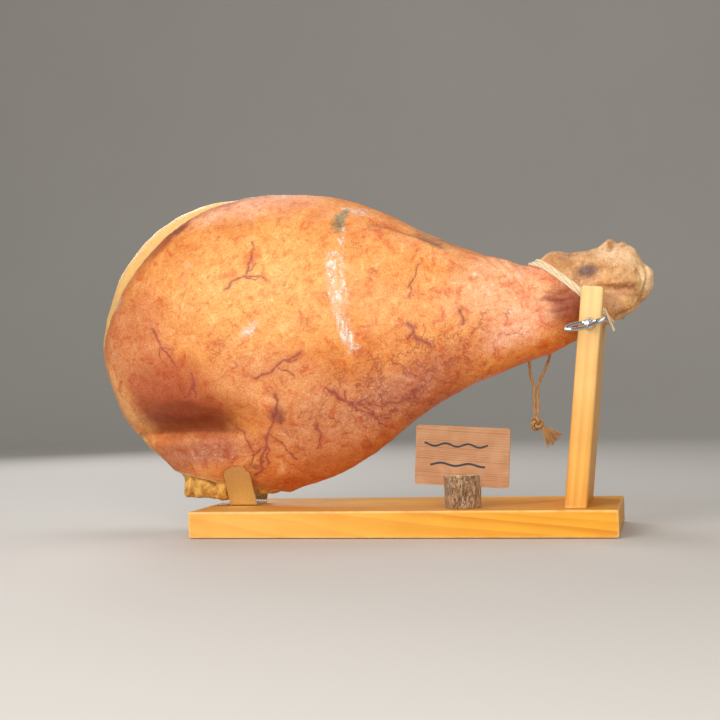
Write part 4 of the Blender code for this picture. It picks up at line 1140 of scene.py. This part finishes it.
def bark_material():
    material, nodes, shader = new_material("stump_bark")
    place = nodes.object_place()
    cut = nodes.attribute("cut_wood")
    tall = nodes.vector("MULTIPLY", place, (1.0, 1.0, 0.42))
    rough_bark = nodes.noise(tall, 0.0032, 5.0, 0.72)
    tone = nodes.mix(nodes.ease(rough_bark, 0.32, 0.70), c(0.160, 0.078, 0.036),
                     c(0.560, 0.340, 0.175))
    grey = nodes.noise(nodes.vector("ADD", tall, (0.3, 0.1, 0.2)), 0.0048, 4.0, 0.65)
    tone = nodes.mix(nodes.ease(grey, 0.48, 0.72, 0.0, 0.75), tone, c(0.500, 0.370, 0.250))
    tone = nodes.mix(nodes.math("MULTIPLY", nodes.attribute("fissure"), 0.55), tone,
                     c(0.080, 0.034, 0.016))
    ringed = nodes.vector("SUBTRACT", place, (*STUMP_CENTRE, 0.0))
    grain = nodes.add("ShaderNodeGroup")
    grain.node_tree = WOOD_GRAIN
    for key, value in (("Place", ringed), ("Ring", 0.0017), ("Wander", 0.0022),
                       ("Pale", c(0.860, 0.620, 0.360)), ("Dark", c(0.620, 0.390, 0.190))):
        nodes.feed(grain.inputs[key], value)
    tone = nodes.mix(cut, tone, grain.outputs["Colour"])
    nodes.feed(shader.inputs["Base Color"], tone)
    nodes.feed(shader.inputs["Roughness"], nodes.ease(rough_bark, 0.3, 0.7, 0.92, 0.72))
    relief(nodes, shader, rough_bark, 0.0009, 0.8)
    return material


# ---------------------------------------------------------------- metal finishes

def steel_material():
    """Brushed stainless strip, with fine strokes along it and a few scuffs."""
    material, nodes, shader = new_material("cradle_steel")
    place = nodes.object_place()
    strokes = nodes.noise(nodes.vector("MULTIPLY", place, (1.0, 0.03, 0.03)), 0.0004, 3.0, 0.7)
    scuffs = nodes.ease(nodes.noise(place, 0.004, 4.0, 0.7), 0.58, 0.74)
    nodes.feed(shader.inputs["Base Color"],
               nodes.mix(strokes, c(0.820, 0.795, 0.740), c(0.860, 0.840, 0.800)))
    shader.inputs["Metallic"].default_value = 1.0
    nodes.feed(shader.inputs["Roughness"],
               nodes.math("MULTIPLY_ADD", scuffs, 0.08, nodes.ease(strokes, 0.3, 0.7, 0.27, 0.30)))
    relief(nodes, shader, strokes, 0.000002, 0.2)
    return material


def zinc_material():
    """Bright plated steel, dulled here and there."""
    material, nodes, shader = new_material("wing_screw_zinc")
    place = nodes.object_place()
    clouds = nodes.noise(place, 0.0050, 4.0, 0.65)
    nodes.feed(shader.inputs["Base Color"],
               nodes.mix(clouds, c(0.420, 0.440, 0.480), c(0.640, 0.660, 0.700)))
    shader.inputs["Metallic"].default_value = 1.0
    nodes.feed(shader.inputs["Roughness"], nodes.ease(clouds, 0.35, 0.75, 0.10, 0.27))
    relief(nodes, shader, nodes.noise(place, 0.0012, 3.0), 0.00006, 0.4)
    return material


# ---------------------------------------------------------------- twine

def twine_material(name, pale, dark):
    material, nodes, shader = new_material(name)
    place = nodes.object_place()
    along, around = nodes.attribute("along"), nodes.attribute("around")
    spin = nodes.math("MULTIPLY_ADD", along, 900.0, nodes.math("MULTIPLY", around, 42.0))
    fibre = nodes.math("MULTIPLY_ADD", nodes.math("SINE", spin), 0.5, 0.5)
    clouds = nodes.noise(place, 0.006, 4.0, 0.7)
    fine = nodes.noise(place, 0.0006, 3.0, 0.7)
    shade = nodes.math("MULTIPLY_ADD", fine, 0.5, nodes.math("MULTIPLY", fibre, 0.35))
    tone = nodes.mix(nodes.ease(clouds, 0.3, 0.7), pale, dark)
    tone = nodes.mix(nodes.ease(shade, 0.25, 0.70, 0.25, 0.0), tone,
                     c(dark[0] * 0.45, dark[1] * 0.38, dark[2] * 0.30))
    # Painted shade in the grooves between the strands
    groove_shade = nodes.attribute("groove_shade")
    tone = nodes.mix(nodes.math("MULTIPLY", groove_shade, 0.55), tone,
                     c(dark[0] * 0.35, dark[1] * 0.27, dark[2] * 0.20))
    nodes.feed(shader.inputs["Base Color"], tone)
    nodes.feed(shader.inputs["Roughness"], nodes.ease(fine, 0.3, 0.7, 0.74, 0.92))
    relief(nodes, shader, shade, 0.00018, 0.7)
    return material


def laid_twine_tree():
    """Three strands laid round each other along a curve."""
    nodes, entry, leave = node_group(
        "laid_twine", "GeometryNodeTree",
        (("Route", "geometry"), ("Radius", "float", 0.0015), ("Turns per metre", "float", 60.0),
         ("Step", "float", 0.001), ("Sides", "int", 18), ("Material", "material")),
        (("Twine", "geometry"),))
    fine = nodes.add("GeometryNodeResampleCurve", {"Curve": entry["Route"],
                                                   "Length": entry["Step"]}, mode="LENGTH")
    run = nodes.add("GeometryNodeSplineParameter").outputs["Length"]
    turn = nodes.math("MULTIPLY", nodes.math("MULTIPLY", run, entry["Turns per metre"]),
                      2 * math.pi)
    tilted = nodes.add("GeometryNodeSetCurveTilt", {"Curve": fine.outputs[0], "Tilt": turn})
    kept = nodes.add("GeometryNodeStoreNamedAttribute",
                     {"Geometry": tilted.outputs[0], "Name": "along", "Value": run},
                     data_type="FLOAT", domain="POINT")
    ring = nodes.add("GeometryNodeCurvePrimitiveCircle", {"Resolution": entry["Sides"],
                                                          "Radius": entry["Radius"]})
    spot = nodes.add("ShaderNodeSeparateXYZ",
                     {0: nodes.add("GeometryNodeInputPosition").outputs[0]}).outputs
    angle = nodes.math("ARCTAN2", spot[1], spot[0])
    lobe = nodes.math("ABSOLUTE", nodes.math("COSINE", nodes.math("MULTIPLY", angle, 1.5)))
    reach = nodes.math("MULTIPLY_ADD", nodes.math("POWER", lobe, 0.6), 0.24, 0.76)
    scaled = nodes.vector("SCALE", nodes.add("GeometryNodeInputPosition").outputs[0], scale=reach)
    lobed = nodes.add("GeometryNodeSetPosition", {"Geometry": ring.outputs[0],
                                                  "Position": scaled})
    marked = nodes.add("GeometryNodeStoreNamedAttribute",
                       {"Geometry": lobed.outputs[0], "Name": "around", "Value": angle},
                       data_type="FLOAT", domain="POINT")
    # Where the painted shade of the grooves between the lobes falls
    groove_shade_marked = nodes.add("GeometryNodeStoreNamedAttribute",
                        {"Geometry": marked.outputs[0], "Name": "groove_shade",
                         "Value": nodes.math("POWER", nodes.math("SUBTRACT", 1.0, lobe), 2.0)},
                        data_type="FLOAT", domain="POINT")
    swept = nodes.add("GeometryNodeCurveToMesh", {"Curve": kept.outputs[0],
                                                  "Profile Curve": groove_shade_marked.outputs[0],
                                                  "Fill Caps": True})
    real = nodes.add("GeometryNodeRealizeInstances", {"Geometry": swept.outputs[0]})
    painted = nodes.add("GeometryNodeSetMaterial", {"Geometry": real.outputs[0],
                                                    "Material": entry["Material"]})
    nodes.feed(leave["Twine"], painted.outputs[0])
    return nodes.tree


def frayed_end_tree():
    """A spray of thin bent fibres from one point, opening along +Z."""
    nodes, entry, leave = node_group(
        "frayed_end", "GeometryNodeTree",
        (("Start", "geometry"), ("Fibres", "int", 60), ("Length", "float", 0.02),
         ("Spread", "float", 0.3), ("Thickness", "float", 0.0003), ("Seed", "int", 3),
         ("Material", "material")),
        (("Fibres", "geometry"),))
    bundle = nodes.add("GeometryNodePoints", {"Count": entry["Fibres"], "Radius": 0.001})
    number = nodes.add("GeometryNodeInputIndex").outputs[0]

    def chance(low, high, shift):
        return nodes.add("FunctionNodeRandomValue",
                         {2: low, 3: high, "ID": number,
                          "Seed": nodes.math("ADD", entry["Seed"], shift)},
                         data_type="FLOAT").outputs[1]

    around = chance(0.0, 2 * math.pi, 1.0)
    share = chance(0.0, 1.0, 2.0)
    out = nodes.math("MULTIPLY", nodes.math("SQRT", share), 0.0016)
    start = nodes.add("ShaderNodeCombineXYZ", {
        0: nodes.math("MULTIPLY", nodes.math("COSINE", around), out),
        1: nodes.math("MULTIPLY", nodes.math("SINE", around), out), 2: 0.0})
    placed = nodes.add("GeometryNodeSetPosition", {"Geometry": bundle.outputs[0],
                                                   "Position": start.outputs[0]})
    fibre = nodes.add("GeometryNodeCurveQuadraticBezier",
                      {"Resolution": 7, "Start": (0, 0, 0), "Middle": (0.0, 0.0, 0.5),
                       "End": (0.14, 0.0, 1.0)})
    sized = nodes.add("GeometryNodeSetCurveRadius", {
        "Curve": fibre.outputs[0],
        "Radius": nodes.math("SUBTRACT", 1.0, nodes.math(
            "MULTIPLY", nodes.add("GeometryNodeSplineParameter").outputs[0], 0.6))})
    tilt_out = nodes.math("MULTIPLY", nodes.math("SQRT", share), entry["Spread"])
    turn = nodes.add("ShaderNodeCombineXYZ", {0: 0.0, 1: tilt_out, 2: around})
    size = nodes.math("MULTIPLY", chance(0.62, 1.0, 3.0), entry["Length"])
    spread = nodes.add("GeometryNodeInstanceOnPoints", {
        "Points": placed.outputs[0], "Instance": sized.outputs[0], "Rotation": turn.outputs[0],
        "Scale": nodes.add("ShaderNodeCombineXYZ", {0: size, 1: size, 2: size}).outputs[0]})
    real = nodes.add("GeometryNodeRealizeInstances", {"Geometry": spread.outputs[0]})
    profile = nodes.add("GeometryNodeCurvePrimitiveCircle", {"Resolution": 5,
                                                             "Radius": entry["Thickness"]})
    swept = nodes.add("GeometryNodeCurveToMesh", {"Curve": real.outputs[0],
                                                  "Profile Curve": profile.outputs[0],
                                                  "Fill Caps": True})
    painted = nodes.add("GeometryNodeSetMaterial", {"Geometry": swept.outputs[0],
                                                    "Material": entry["Material"]})
    nodes.feed(leave["Fibres"], painted.outputs[0])
    return nodes.tree


def grow(obj, tree, **values):
    """Run a node tree on an object, with its inputs set by their identifiers, and keep the mesh."""
    modifier = obj.modifiers.new(tree.name, "NODES")
    modifier.node_group = tree
    for item in tree.interface.items_tree:
        key = item.name.replace(" ", "_")
        if item.in_out == "INPUT" and key in values:
            modifier[item.identifier] = values[key]
    bpy.context.view_layer.update()
    depsgraph = bpy.context.evaluated_depsgraph_get()
    mesh = bpy.data.meshes.new_from_object(obj.evaluated_get(depsgraph))
    bpy.data.objects.remove(obj, do_unlink=True)
    return mesh


def route_curve(points, closed=False):
    curve = bpy.data.curves.new("route", "CURVE")
    curve.dimensions = "3D"
    spline = curve.splines.new("POLY")
    spline.points.add(len(points) - 1)
    spline.use_cyclic_u = closed
    for slot_point, point in zip(spline.points, points):
        slot_point.co = (*point, 1.0)
    obj = bpy.data.objects.new("route", curve)
    bpy.context.scene.collection.objects.link(obj)
    return obj


def route_length(points, closed=False):
    ends = list(zip(points, points[1:])) + ([(points[-1], points[0])] if closed else [])
    return sum((Vector(b) - Vector(a)).length for a, b in ends)


def merge_meshes(name, meshes):
    """One mesh from several, with the first one's material."""
    work = bmesh.new()
    for mesh in meshes:
        work.from_mesh(mesh)
    bmesh.ops.remove_doubles(work, verts=work.verts, dist=1e-6)
    bmesh.ops.recalc_face_normals(work, faces=work.faces)
    joined = bpy.data.meshes.new(name)
    work.to_mesh(joined)
    work.free()
    joined.materials.append(meshes[0].materials[0])
    return joined


def make_twine(points, tree, material, radius=TWINE_RADIUS, closed=False, turns=TWINE_TURNS):
    if closed:
        length = route_length(points, True)
        turns = round(length * turns) / length
    return grow(route_curve(points, closed), tree, Radius=radius, Turns_per_metre=turns,
                Step=0.0009, Sides=18, Material=material)


def wrap_route(surface, shift, start, end, count, lift):
    """Places round the shank on a slanting loop, resting on the ham's surface."""
    middle = Vector((0, 0.0, 0.228))
    points = []
    for i in range(count):
        angle = start + (end - start) * i / count
        x = WRAP_X - WRAP_REACH * math.cos(angle) + shift
        out = Vector((0, -math.sin(angle), math.cos(angle)))
        centre = Vector((x, middle.y, middle.z))
        hit = surface.ray_cast(centre + out * 0.09, -out)
        spot = hit[0] + hit[1] * lift if hit[0] else centre + out * 0.03
        points.append(spot)
    return points


def even_out(points, rounds, closed):
    for _ in range(rounds):
        fresh = []
        for i, point in enumerate(points):
            if not closed and i in (0, len(points) - 1):
                fresh.append(point)
                continue
            before, after = points[i - 1], points[(i + 1) % len(points)]
            fresh.append(point * 0.5 + (before + after) * 0.25)
        points = fresh
    return points


def build_wraps(ham, tree, material):
    surface = BVHTree.FromPolygons([v.co for v in ham.data.vertices],
                                   [p.vertices for p in ham.data.polygons])
    rings = []
    for shift in (-0.0046, -0.0012):
        ring = even_out(wrap_route(surface, shift, 0, 2 * math.pi, 90, 0.0012), 2, True)
        rings.append(make_twine(ring, tree, material, 0.00150, closed=True))
    wrap = place("twine_wrap_loops", merge_meshes("twine_wrap_loops", rings))
    finish_piece(wrap, "stand", "twine", "twine_wrap_1")
    start, end = math.radians(-62), math.radians(140)
    strand = wrap_route(surface, 0.0022, start, end, 60, 0.0012)
    strand = even_out(strand, 2, False) + [Vector(p) for p in WRAP_END]
    tail = place("twine_wrap_tail", make_twine(smooth_curve(strand, 120), tree, material, 0.0015))
    finish_piece(tail, "stand", "twine", "twine_wrap_2")


def knot_route():
    """A closed overhand knot, flattened to the knot's size."""
    loop = []
    for i in range(72):
        t = 2 * math.pi * i / 72
        x = (2 + math.cos(3 * t)) * math.cos(2 * t) / 3
        z = (2 + math.cos(3 * t)) * math.sin(2 * t) / 3
        y = math.sin(3 * t)
        half = [s / 2 - TWINE_RADIUS * 1.02 for s in KNOT_SIZE]
        loop.append(Vector((x * half[0], y * half[1], z * half[2])) + Vector(KNOT_CENTRE))
    return loop


def build_hanging_twine(tree, fray_tree, material):
    knot = place("twine_end_knot", make_twine(knot_route(), tree, material, 0.0019, closed=True,
                                              turns=90))
    start, end = Vector(TASSEL_START), Vector(TASSEL_END)
    spray = []
    for seed, lean in ((3, -0.13), (8, 0.15)):
        empty = place("fray", bpy.data.meshes.new("fray"))
        mesh = grow(empty, fray_tree, Fibres=46, Length=0.0215, Spread=0.15, Thickness=0.00034,
                    Seed=seed, Material=material)
        aim = (end - start).normalized()
        aim = (Matrix.Rotation(lean, 3, "Y") @ aim).to_track_quat("Z", "Y").to_matrix().to_4x4()
        mesh.transform(Matrix.Translation(start) @ aim)
        spray.append(mesh)
    tassel = place("twine_frayed_end", merge_meshes("twine_frayed_end", spray))
    finish_piece(knot, "stand", "twine", "twine_knot")
    finish_piece(tassel, "stand", "twine", "twine_tassel")
    for number, route in enumerate(HANG_ROUTES, start=1):
        fine = smooth_curve(route, HANG_POINTS * 5)
        strand = place(f"twine_hanging_{number}", make_twine(fine, tree, material))
        finish_piece(strand, "stand", "twine", f"twine_hang_{number}")


# ---------------------------------------------------------------- log foot

def build_stump():
    """A short length of branch with its bark on, sawn across, slotted for the board."""
    low, high = BOARD_TOP + 0.0003, STUMP_TOP
    around, rows = 200, 56
    profile = [(0.0, low), (0.30, low), (0.60, low), (0.86, low), (0.97, low)]
    profile += [(1.0, low + (high - low) * (row + 0.5) / rows) for row in range(rows)]
    profile += [(0.985, high), (0.94, high), (0.86, high), (0.60, high), (0.30, high), (0.0, high)]
    work = bmesh.new()
    rings = []
    for share, z in profile:
        if share == 0.0:
            rings.append([work.verts.new((0, 0, z))])
            continue
        ring = []
        for i in range(around):
            angle = 2 * math.pi * i / around
            ring.append(work.verts.new((math.cos(angle) * STUMP_RADIUS * share,
                                        math.sin(angle) * STUMP_RADIUS * share, z)))
        rings.append(ring)
    for lower, upper in zip(rings, rings[1:]):
        for i in range(around):
            k = (i + 1) % around
            if len(lower) == 1:
                work.faces.new((lower[0], upper[k], upper[i]))
            elif len(upper) == 1:
                work.faces.new((lower[i], lower[k], upper[0]))
            else:
                work.faces.new((lower[i], lower[k], upper[k], upper[i]))
    bmesh.ops.recalc_face_normals(work, faces=work.faces)
    mesh = bpy.data.meshes.new("sign_log_foot")
    work.to_mesh(mesh)
    work.free()
    return shape_bark(mesh, low, high)


def shape_bark(mesh, low, high):
    points = points_of(mesh)
    radius = np.hypot(points[:, 0], points[:, 1])
    angle = np.arctan2(points[:, 1], points[:, 0])
    outer = ease(0.93, 0.99, radius / STUMP_RADIUS)
    trunk = 1 + 0.030 * np.sin(3 * angle + 0.6) + 0.015 * np.sin(8 * angle)
    tall = points * (1, 1, 0.30)
    plates = np.abs(waviness(tall, 0.0030, 3, 3.0))
    fissure = ease(0.16, 0.02, plates)
    lumps = waviness(points, 0.0055, 2, 9.0)
    grain = waviness(points, 0.0014, 2, 1.0)
    depth = -0.0011 * fissure + 0.0006 * lumps + 0.00025 * grain - 0.0006
    rim = ease(high - 0.0016, high, points[:, 2])
    depth = depth * outer - 0.0007 * rim * outer
    scale = trunk * (1 + depth / np.maximum(radius, 1e-4))
    points[:, 0] *= scale
    points[:, 1] *= scale
    points[:, 2] -= 0.00012 * np.abs(waviness(points, 0.004, 2, 6.0)) * rim
    points += (*STUMP_CENTRE, 0)
    set_points(mesh, points)
    flat_end = ease(high - 0.0007, high - 0.0003, points[:, 2])
    flat_end = np.maximum(flat_end, ease(low + 0.0003, low, points[:, 2]))
    store(mesh, "cut_wood", flat_end)
    store(mesh, "fissure", fissure * outer)
    stump = place("sign_log_foot", mesh)
    slot = place("slot_cutter", bpy.data.meshes.new("slot_cutter"))
    work = bmesh.new()
    bmesh.ops.create_cube(work, size=1.0, matrix=Matrix.Translation(
        (*STUMP_CENTRE, SLOT_FLOOR + 0.015)) @ Matrix.Diagonal((0.06, SLOT_WIDTH, 0.03, 1)))
    work.to_mesh(slot.data)
    work.free()
    cut = stump.modifiers.new("Slot", "BOOLEAN")
    cut.object = slot
    cut.solver = "MANIFOLD"
    baked(stump)
    bpy.data.objects.remove(slot, do_unlink=True)
    stump.data.materials.clear()
    stump.data.materials.append(bark_material())
    stump.data.set_sharp_from_angle(angle=math.radians(50))
    return finish_piece(stump, "stand", "bark", "sign_stump")


# ---------------------------------------------------------------- studio

def set_camera():
    cy, sy = math.cos(CAMERA_YAW), math.sin(CAMERA_YAW)
    cp, sp = math.cos(CAMERA_PITCH), math.sin(CAMERA_PITCH)
    cr, sr = math.cos(CAMERA_ROLL), math.sin(CAMERA_ROLL)
    yaw = Matrix(((cy, sy, 0), (-sy, cy, 0), (0, 0, 1)))
    stand = Matrix(((1, 0, 0), (0, 0, -1), (0, 1, 0)))
    pitch = Matrix(((1, 0, 0), (0, cp, -sp), (0, sp, cp)))
    roll = Matrix(((cr, -sr, 0), (sr, cr, 0), (0, 0, 1)))
    rows = roll @ pitch @ stand @ yaw
    turn = Matrix((rows[0], -rows[1], -rows[2])).transposed().to_4x4()
    data = bpy.data.cameras.new("camera")
    data.lens = CAMERA_LENS
    data.sensor_width = CAMERA_SENSOR
    data.clip_start = 0.01
    camera = bpy.data.objects.new("camera", data)
    camera.matrix_world = Matrix.Translation(CAMERA_PLACE) @ turn
    bpy.context.scene.collection.objects.link(camera)
    bpy.context.scene.camera = camera


def soft_light(name, where, aim, size, power, tint=(1.0, 1.0, 1.0)):
    data = bpy.data.lights.new(name, "AREA")
    data.shape = "RECTANGLE"
    data.size, data.size_y = size
    data.energy = power
    data.color = tint
    light = bpy.data.objects.new(name, data)
    light.location = where
    light.rotation_euler = (Vector(aim) - Vector(where)).to_track_quat("-Z", "Y").to_euler()
    bpy.context.scene.collection.objects.link(light)


def sweep_mesh():
    """A floor that curves up far behind into a plain wall."""
    profile = [(-3.5, 0.0), (2.0, 0.0)]
    profile += [(2.0 + 1.2 * math.sin(a), 1.2 * (1 - math.cos(a)))
                for a in (math.pi / 2 * k / 24 for k in range(1, 25))]
    profile.append((3.2, 4.2))
    work = bmesh.new()
    rows = [[work.verts.new((x, y, z - 0.0005)) for x in (-4.0, 4.0)] for y, z in profile]
    for low, high in zip(rows, rows[1:]):
        work.faces.new((low[0], low[1], high[1], high[0]))
    mesh = bpy.data.meshes.new("floor")
    work.to_mesh(mesh)
    work.free()
    return mesh


def build_studio():
    floor = place("floor", sweep_mesh())
    material, nodes, shader = new_material("floor_pale")
    place_here = nodes.object_place()
    nodes.feed(shader.inputs["Base Color"],
               nodes.mix(nodes.noise(place_here, 0.6), c(0.56, 0.53, 0.49), c(0.61, 0.58, 0.54)))
    shader.inputs["Roughness"].default_value = 0.75
    floor.data.materials.append(material)
    world = bpy.data.worlds.new("studio")
    world.use_nodes = True
    background = world.node_tree.nodes["Background"]
    background.inputs["Color"].default_value = c(0.84, 0.83, 0.82)
    background.inputs["Strength"].default_value = 0.34
    bpy.context.scene.world = world
    soft_light("key", (-0.75, -1.55, 1.15), (-0.05, 0, 0.16), (1.1, 1.1), 20.5, (1.0, 0.985, 0.96))
    soft_light("fill", (0.55, -1.75, 0.50), (0.05, 0, 0.15), (0.8, 0.8), 17, (1.0, 0.98, 0.95))
    soft_light("top", (0.0, 0.25, 1.55), (-0.05, 0, 0.2), (1.2, 0.8), 7)
    soft_light("back", (-0.9, 1.3, 0.9), (0, 0, 0.2), (0.8, 0.8), 8)
    bpy.context.scene.view_settings.view_transform = "Standard"


# ---------------------------------------------------------------- carried-over pieces

def dress(node, material):
    """Give a carried-over piece its finish."""
    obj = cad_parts[node]
    for slot_number in range(len(obj.material_slots)):
        obj.material_slots[slot_number].material = material
    return obj


def dress_stand():
    dress("base_board", board_material())
    dress("post", post_material())
    steel = steel_material()
    for node in ("cradle", "cradle_screw_1", "cradle_screw_2", "post_screw_1", "post_screw_2"):
        dress(node, steel)
    dress("wing_screw", zinc_material())
    dress("sign_plaque", plaque_material())


set_camera()
TWINE_TREE = laid_twine_tree()
build_hanging_twine(TWINE_TREE, frayed_end_tree(),
                    twine_material("twine_tan", c(0.640, 0.400, 0.170), c(0.470, 0.260, 0.090)))
HAM = shape_ham()
build_wraps(HAM, TWINE_TREE,
            twine_material("twine_cream", c(0.980, 0.850, 0.600), c(0.920, 0.720, 0.450)))
build_stump()
dress_stand()
build_studio()
